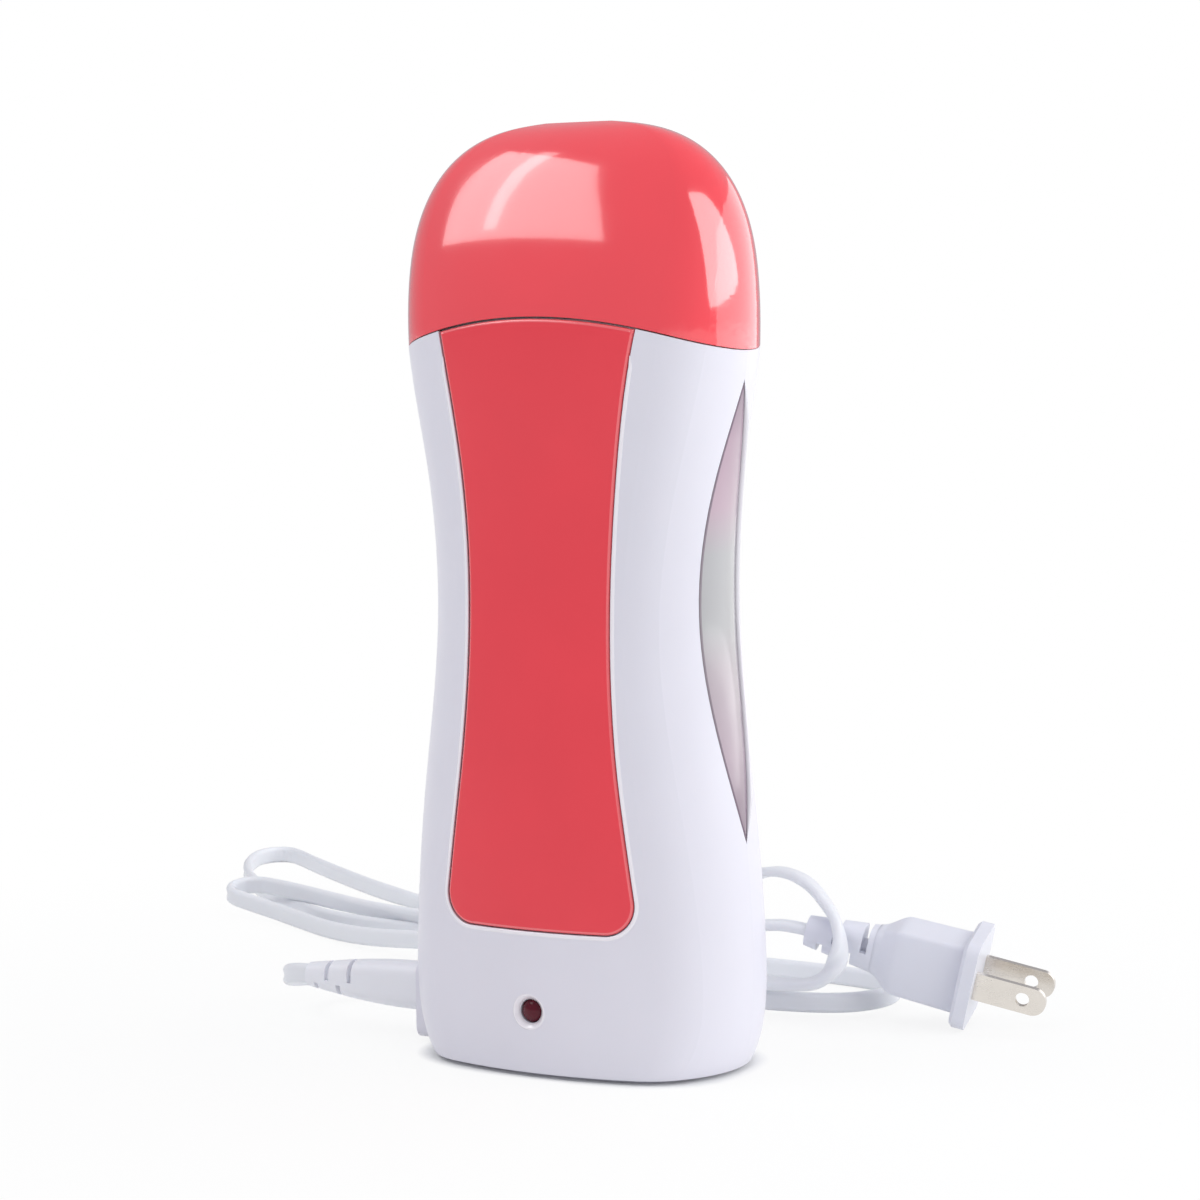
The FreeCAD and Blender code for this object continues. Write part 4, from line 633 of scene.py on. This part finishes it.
def build_windows(materials):
    behind = SHELL_WALL + WINDOW_GAP
    section = [(-FLANGE_WIDTH, behind + FLANGE_THICKNESS), (-FLANGE_WIDTH, behind), (0, behind)]
    for side, sign in (("right", 1), ("left", -1)):
        rim = Rim(f"window_{side}", (sign, 0, 0))
        # each window's face, and its rim in the darker colour of painted shade
        window = inlay(f"level_window_{side}", f"window_{side}", rim, section,
                       (materials["window_clear"], materials["window_edge_painted_shade"]), WINDOW_EDGE)
        edge_bead(f"window_guard_{side}", rim, lambda point: fading(point.y), GUARD_SECTION,
                  materials["window_guard"])


# ---------------------------------------------------------------- the lamp's countersink
# the cone's section, in millimetres of radius and of lift above the shell
BEZEL_SECTION = ((2.7, 0.05), (3.1, 0.08), (3.45, 0.14), (3.7, 0.13), (3.95, 0.0), (3.95, -0.2), (2.7, -0.2))
BEZEL_STEPS = 48
CLEAR_OF_SHELL = 20 * MM


def build_bezel(materials):
    """The cone of the countersink round the indicator lamp, bright from real light and from the lighter
    white of a painted highlight.
    """
    low, high = (Vector(corner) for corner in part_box("lamp_lens"))
    middle = (low + high) / 2
    shell = bmesh.new()
    shell.from_mesh(nodes["front_shell"].data)
    surface = BVHTree.FromBMesh(shell)
    shell.free()
    vertices = []
    for radius, lift in BEZEL_SECTION:
        for step in range(BEZEL_STEPS):
            angle = math.tau * step / BEZEL_STEPS
            across = Vector((math.cos(angle), 0, math.sin(angle)))
            start = Vector((middle.x, low.y - CLEAR_OF_SHELL, middle.z)) + across * radius * MM
            hit = surface.ray_cast(start, Vector((0, 1, 0)))[0]
            vertices.append(hit - Vector((0, lift * MM, 0)))
    faces = strips(len(BEZEL_SECTION), BEZEL_STEPS, round_rows=True)
    bezel = mesh_object("lamp_bezel", vertices, faces, materials["shell_edge_painted_highlight"])
    outward(bezel)
    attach(bezel, "heater")


# ---------------------------------------------------------------- the plug's grip
# the plug's place, and its yaw, pitch and roll in degrees, as in the CAD model
PLUG_PLACE = (26.9 * MM, 54.5 * MM, 20.64 * MM)
PLUG_TURN = (13.5, 13.06, 6.8)
# in millimetres: where the grip starts and ends along the plug, and its width, rise and corner radius
# at the bend relief and past the shoulder
GRIP_START = 16.3
GRIP_END = 37.4
GRIP_ROOT = (8.9, 10.8, 3.0)
GRIP_FULL = (13.4, 15.2, 1.2)
# the share of the grip's length that the shoulder takes, and how much the rise still grows to the flange
GRIP_SHOULDER = 0.30
GRIP_SPREAD = 1.0
GRIP_ROWS = 30
CORNER_STEPS = 6


def eased(share):
    """A share from 0 to 1 that starts and ends gently."""
    return share * share * (3 - 2 * share)


def rounded(width, rise, corner):
    """A rounded rectangle about its middle."""
    made = []
    for turn, (sign_x, sign_y) in enumerate(((1, 1), (-1, 1), (-1, -1), (1, -1))):
        for step in range(CORNER_STEPS + 1):
            angle = math.radians(90) * (turn + step / CORNER_STEPS)
            made.append((sign_x * (width / 2 - corner) + corner * math.cos(angle),
                         sign_y * (rise / 2 - corner) + corner * math.sin(angle)))
    return made


def build_grip(materials):
    """The boxy moulded grip between the plug's bend relief and its flange, with crisp edges."""
    yaw, pitch, roll = (math.radians(angle) for angle in PLUG_TURN)
    lie = (Matrix.Translation(PLUG_PLACE) @ Matrix.Rotation(yaw, 4, "Z") @ Matrix.Rotation(pitch, 4, "Y")
           @ Matrix.Rotation(roll, 4, "X"))
    vertices = []
    for row in range(GRIP_ROWS + 1):
        share = row / GRIP_ROWS
        place = GRIP_START + (GRIP_END - GRIP_START) * share
        bulge = eased(min(1.0, share / GRIP_SHOULDER))
        width, rise, corner = (root + (full - root) * bulge for root, full in zip(GRIP_ROOT, GRIP_FULL))
        section = rounded(width, rise + GRIP_SPREAD * share, corner)
        vertices.extend(lie @ (Vector((place, across, up)) * MM) for across, up in section)
    faces = strips(GRIP_ROWS + 1, len(section)) + caps(GRIP_ROWS + 1, len(section))
    grip = mesh_object("plug_grip", vertices, faces, materials["lead_white"])
    outward(grip)
    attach(grip, "lead")
    return grip


# ---------------------------------------------------------------- the lead's cord
CORD_WIDTH = 4.7 * MM
CORD_THICKNESS = 2.4 * MM
# the cord's thickness at its waist as a share of its cores' own, and the steps round half a core
CORD_WAIST = 0.8
CORE_STEPS = 14
# a path steeper than this keeps the side that it had
LEVEL_ENOUGH = 0.15
FLAT = 0.0
EDGE = 90.0

# the route of part.py, in millimetres, with the turn of the flat cord about its own line
CORD_ROUTE = (
    (-74.1, 0.0, 11.6, EDGE), (-78.5, 0.0, 11.6, EDGE), (-84.0, 4.0, 9.8, EDGE),
    (-87.2, 12.0, 7.6, EDGE), (-85.0, 22.0, 6.4, EDGE), (-75.0, 31.0, 5.8, EDGE),
    (-62.0, 39.5, 5.2, EDGE), (-38.0, 49.0, 3.8, EDGE), (0.0, 54.5, 3.0, EDGE),
    (20.0, 54.5, 3.3, EDGE), (33.0, 57.0, 3.5, EDGE), (40.0, 63.5, 3.7, EDGE), (40.5, 75.0, 3.4, EDGE),
    (34.2, 86.0, 2.7, EDGE), (21.0, 91.5, 2.4, EDGE), (-4.0, 93.0, 2.4, EDGE), (-46.0, 92.6, 2.4, EDGE),
    (-84.0, 90.8, 3.2, EDGE), (-111.0, 91.5, 3.3, EDGE), (-131.2, 95.7, 3.2, EDGE),
    (-149.7, 106.5, 2.5, 50), (-168.0, 121.0, 2.35, 45), (-184.0, 134.4, 2.4, EDGE),
    (-196.0, 147.2, 2.4, EDGE), (-204.2, 159.0, 2.4, EDGE), (-209.0, 169.0, 2.4, EDGE),
    (-210.8, 175.2, 2.4, EDGE), (-209.8, 180.4, 2.4, EDGE), (-205.2, 182.6, 2.4, EDGE),
    (-199.6, 179.4, 2.4, EDGE), (-188.8, 171.1, 2.4, EDGE), (-170.0, 157.6, 2.4, EDGE),
    (-146.0, 141.4, 2.4, EDGE), (-120.0, 127.5, 2.35, 60), (-88.0, 118.5, 2.6, 20),
    (-54.0, 107.0, 7.0, FLAT), (-26.0, 92.5, 15.5, FLAT), (-5.5, 82.0, 24.5, FLAT),
    (9.0, 71.5, 31.0, FLAT), (21.7, 63.5, 31.1, 12), (31.2, 55.4, 27.4, 35),
    (37.0, 50.4, 22.4, 58), (38.8, 46.8, 16.4, 60), (34.9, 45.6, 10.9, 35), (25.5, 50.2, 8.2, 12),
    (8.0, 56.0, 7.2, 20), (-24.0, 62.5, 7.0, 60), (-64.0, 69.0, 6.6, EDGE),
    (-88.0, 73.4, 5.4, EDGE), (-109.0, 78.4, 3.4, EDGE), (-127.0, 86.6, 2.4, EDGE),
    (-143.0, 95.6, 2.5, EDGE), (-155.0, 100.8, 3.2, EDGE), (-164.5, 103.0, 4.3, EDGE),
    (-171.8, 104.9, 5.2, EDGE), (-174.3, 108.8, 6.0, EDGE), (-173.2, 113.2, 6.6, EDGE),
    (-169.2, 115.4, 6.8, EDGE), (-162.3, 113.6, 6.8, EDGE), (-150.5, 109.1, 6.8, EDGE),
    (-136.0, 102.6, 6.8, EDGE), (-112.0, 93.2, 6.9, 70), (-68.0, 83.0, 9.0, 40),
    (-40.0, 72.0, 13.0, 20), (-12.0, 59.6, 18.0, FLAT), (6.5, 54.0, 20.3, FLAT),
    (16.8, 52.5, 21.3, FLAT), (22.35, 53.4, 21.72, FLAT), (26.9, 54.5, 20.64, FLAT),
)


def twin_section():
    """One turn round a flat twin cord: two round cores under one jacket, with a shallow waist."""
    radius = CORD_THICKNESS / 2
    shift = CORD_WIDTH / 2 - radius
    waist = CORD_WAIST * radius
    right = []
    for index in range(CORE_STEPS + 1):
        angle = math.radians(-90 + 180 * index / CORE_STEPS)
        right.append((shift + radius * math.cos(angle), radius * math.sin(angle)))
    left = [(-x, y) for x, y in reversed(right)]
    return right + [(0.0, waist)] + left + [(0.0, -waist)]


def ribbon(name, path, turns, section, material):
    """A section swept along a path, turned about it by degrees; returns a closed mesh tube."""
    vertices = []
    side = None
    for index, point in enumerate(path):
        after = path[min(index + 1, len(path) - 1)]
        before = path[max(index - 1, 0)]
        along = (after - before).normalized()
        level = along.cross(Vector((0, 0, 1)))
        if side is None or level.length > LEVEL_ENOUGH:
            side = level.normalized()
        else:
            side = (side - along * side.dot(along)).normalized()
        rise = side.cross(along)
        turn = math.radians(turns[index])
        across = side * math.cos(turn) + rise * math.sin(turn)
        thick = rise * math.cos(turn) - side * math.sin(turn)
        vertices.extend(point + across * x + thick * y for x, y in section)
    faces = strips(len(path), len(section)) + caps(len(path), len(section))
    return mesh_object(name, vertices, faces, material)


def build_cord(materials, grip):
    controls = [Vector(point[:3]) * MM for point in CORD_ROUTE]
    path = nurbs_path("cord_line", controls)
    turns = []
    for index in range(len(path)):
        place = index / (len(path) - 1) * (len(controls) - 1)
        low = min(int(place), len(controls) - 2)
        share = eased(place - low)
        turns.append(CORD_ROUTE[low][3] * (1 - share) + CORD_ROUTE[low + 1][3] * share)
    flex = ribbon("flex", path, turns, twin_section(), materials["cord_white"])
    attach(flex, "lead")
    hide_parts("cord")


# ---------------------------------------------------------------- stage and light
FLOOR_REACH = 6.0
# the floor's share of plain white, at the near and the far end of the object's soft shadow
PLAIN_SHARES = (0.84, 1.0)
SHADOW_REACH = (0.09, 0.28)
# half the width and depth of the casing's foot and its outline's power, and over which measures from its
# middle the full shadow under it ends, where the outline is 1
FOOT_REACH = (37.0 * MM, 24.5 * MM)
FOOT_POWER = 2.8
FOOT_FADE = (0.96, 1.2)


def foot_measure(tree, place):
    """How far a place lies from the foot's middle: 1 on the outline of its rounded oblong."""
    parts = add(tree, "ShaderNodeSeparateXYZ")
    tree.links.new(place, parts.inputs["Vector"])
    terms = []
    for axis, reach in zip("XY", FOOT_REACH):
        share = combine(tree, "DIVIDE", combine(tree, "ABSOLUTE", parts.outputs[axis]), reach)
        terms.append(combine(tree, "POWER", share, FOOT_POWER))
    return combine(tree, "ADD", *terms)


def build_stage():
    """A pale floor that the camera sees as plain white, except where the object's shadow falls."""
    near, far = -FLOOR_REACH, FLOOR_REACH
    floor = mesh_object("floor", [(near, near, 0), (far, near, 0), (far, far, 0), (near, far, 0)],
                        [(0, 1, 2, 3)], smooth=False)
    material = bpy.data.materials.new("floor_white")
    material.use_nodes = True
    tree = material.node_tree
    tree.nodes.clear()
    output = tree.nodes.new("ShaderNodeOutputMaterial")
    lit = add(tree, "ShaderNodeBsdfDiffuse", Color=(0.93, 0.94, 0.93, 1))
    plain_white = add(tree, "ShaderNodeEmission", Color=(1, 1, 1, 1), Strength=1.0)
    rays = tree.nodes.new("ShaderNodeLightPath").outputs
    seen = combine(tree, "MAXIMUM", rays["Is Camera Ray"], rays["Is Glossy Ray"])
    seen = combine(tree, "MAXIMUM", seen, rays["Is Transmission Ray"])
    place = add(tree, "ShaderNodeTexCoord").outputs["Object"]
    distance = add(tree, "ShaderNodeVectorMath", operation="LENGTH")
    tree.links.new(place, distance.inputs[0])
    soft_shadow = spread(tree, distance.outputs["Value"], *PLAIN_SHARES, *SHADOW_REACH)
    contact_shadow = spread(tree, foot_measure(tree, place), 0.0, 1.0, *FOOT_FADE)
    share = combine(tree, "MULTIPLY", soft_shadow, contact_shadow)
    mix_shaders(tree, combine(tree, "MULTIPLY", seen, share), lit, plain_white, output)
    floor.data.materials.append(material)


def build_world():
    """Dim pale light all round, which the camera sees as plain white."""
    world = bpy.data.worlds.new("studio")
    bpy.context.scene.world = world
    world.use_nodes = True
    tree = world.node_tree
    tree.nodes.clear()
    output = tree.nodes.new("ShaderNodeOutputWorld")
    dim = add(tree, "ShaderNodeBackground", Color=(0.94, 0.94, 1.0, 1), Strength=0.5)
    white = add(tree, "ShaderNodeBackground", Color=(1, 1, 1, 1), Strength=1.0)
    rays = tree.nodes.new("ShaderNodeLightPath").outputs
    seen = combine(tree, "MAXIMUM", rays["Is Camera Ray"], rays["Is Transmission Ray"])
    mix_shaders(tree, seen, dim, white, output)


def area_light(name, place, facing, along, width, height, radiance, seen="both"):
    """A soft box of a given brightness that shines along a direction, with its width along another."""
    data = bpy.data.lights.new(name, "AREA")
    data.shape = "RECTANGLE"
    data.size = width
    data.size_y = height
    data.energy = radiance * math.pi * width * height
    light = link(bpy.data.objects.new(name, data))
    back = -Vector(facing).normalized()
    across = (Vector(along) - back * back.dot(Vector(along))).normalized()
    turn = Matrix((across, back.cross(across), back)).transposed().to_4x4()
    light.matrix_world = Matrix.Translation(place) @ turn
    light.visible_diffuse = seen != "gloss"
    light.visible_glossy = seen != "fill"


def build_lights():
    """Soft boxes whose reflections lie on the cap as in the photo, and two that only fill."""
    head = Vector((0, 0, 0.185))
    area_light("softbox_front", place=(-0.60, -0.45, 1.13), facing=(0.807, 0.563, 0.18),
               along=(0.46, -0.79, 0.41), width=0.90, height=1.14, radiance=2.4)
    ahead = Vector((-0.62, -0.32, 0.71))
    area_light("strip_front", place=head + 0.70 * ahead, facing=-ahead, along=(0.165, 0.346, 0.30),
               width=0.42, height=0.055, radiance=2.0)
    beside = Vector((0.90, 0.02, 0.43))
    area_light("softbox_right", place=head + 0.95 * beside, facing=-beside, along=(0, 1, 0),
               width=1.2, height=0.85, radiance=1.4, seen="fill")
    area_light("shine_right", place=(0.744, -0.105, 0.944), facing=(-0.608, 0.532, 0.589),
               along=(0.696, 0.714, 0.075), width=0.918, height=1.853, radiance=3.2, seen="gloss")
    behind = Vector((0.66, 0.74, 0.16))
    area_light("softbox_back", place=head + 1.3 * behind, facing=-behind, along=(0.74, -0.66, 0),
               width=2.0, height=0.76, radiance=1.1)
    area_light("softbox_top", place=(0.0, 0.3, 1.4), facing=(0, -0.23, -1), along=(1, 0, 0),
               width=1.2, height=1.2, radiance=0.8, seen="fill")


place_camera()
materials = make_materials()
dress_nodes(materials)
build_cord(materials, build_grip(materials))
build_insert(materials)
build_windows(materials)
build_bezel(materials)
build_stage()
build_world()
build_lights()

view = bpy.context.scene.view_settings
view.view_transform = "Standard"
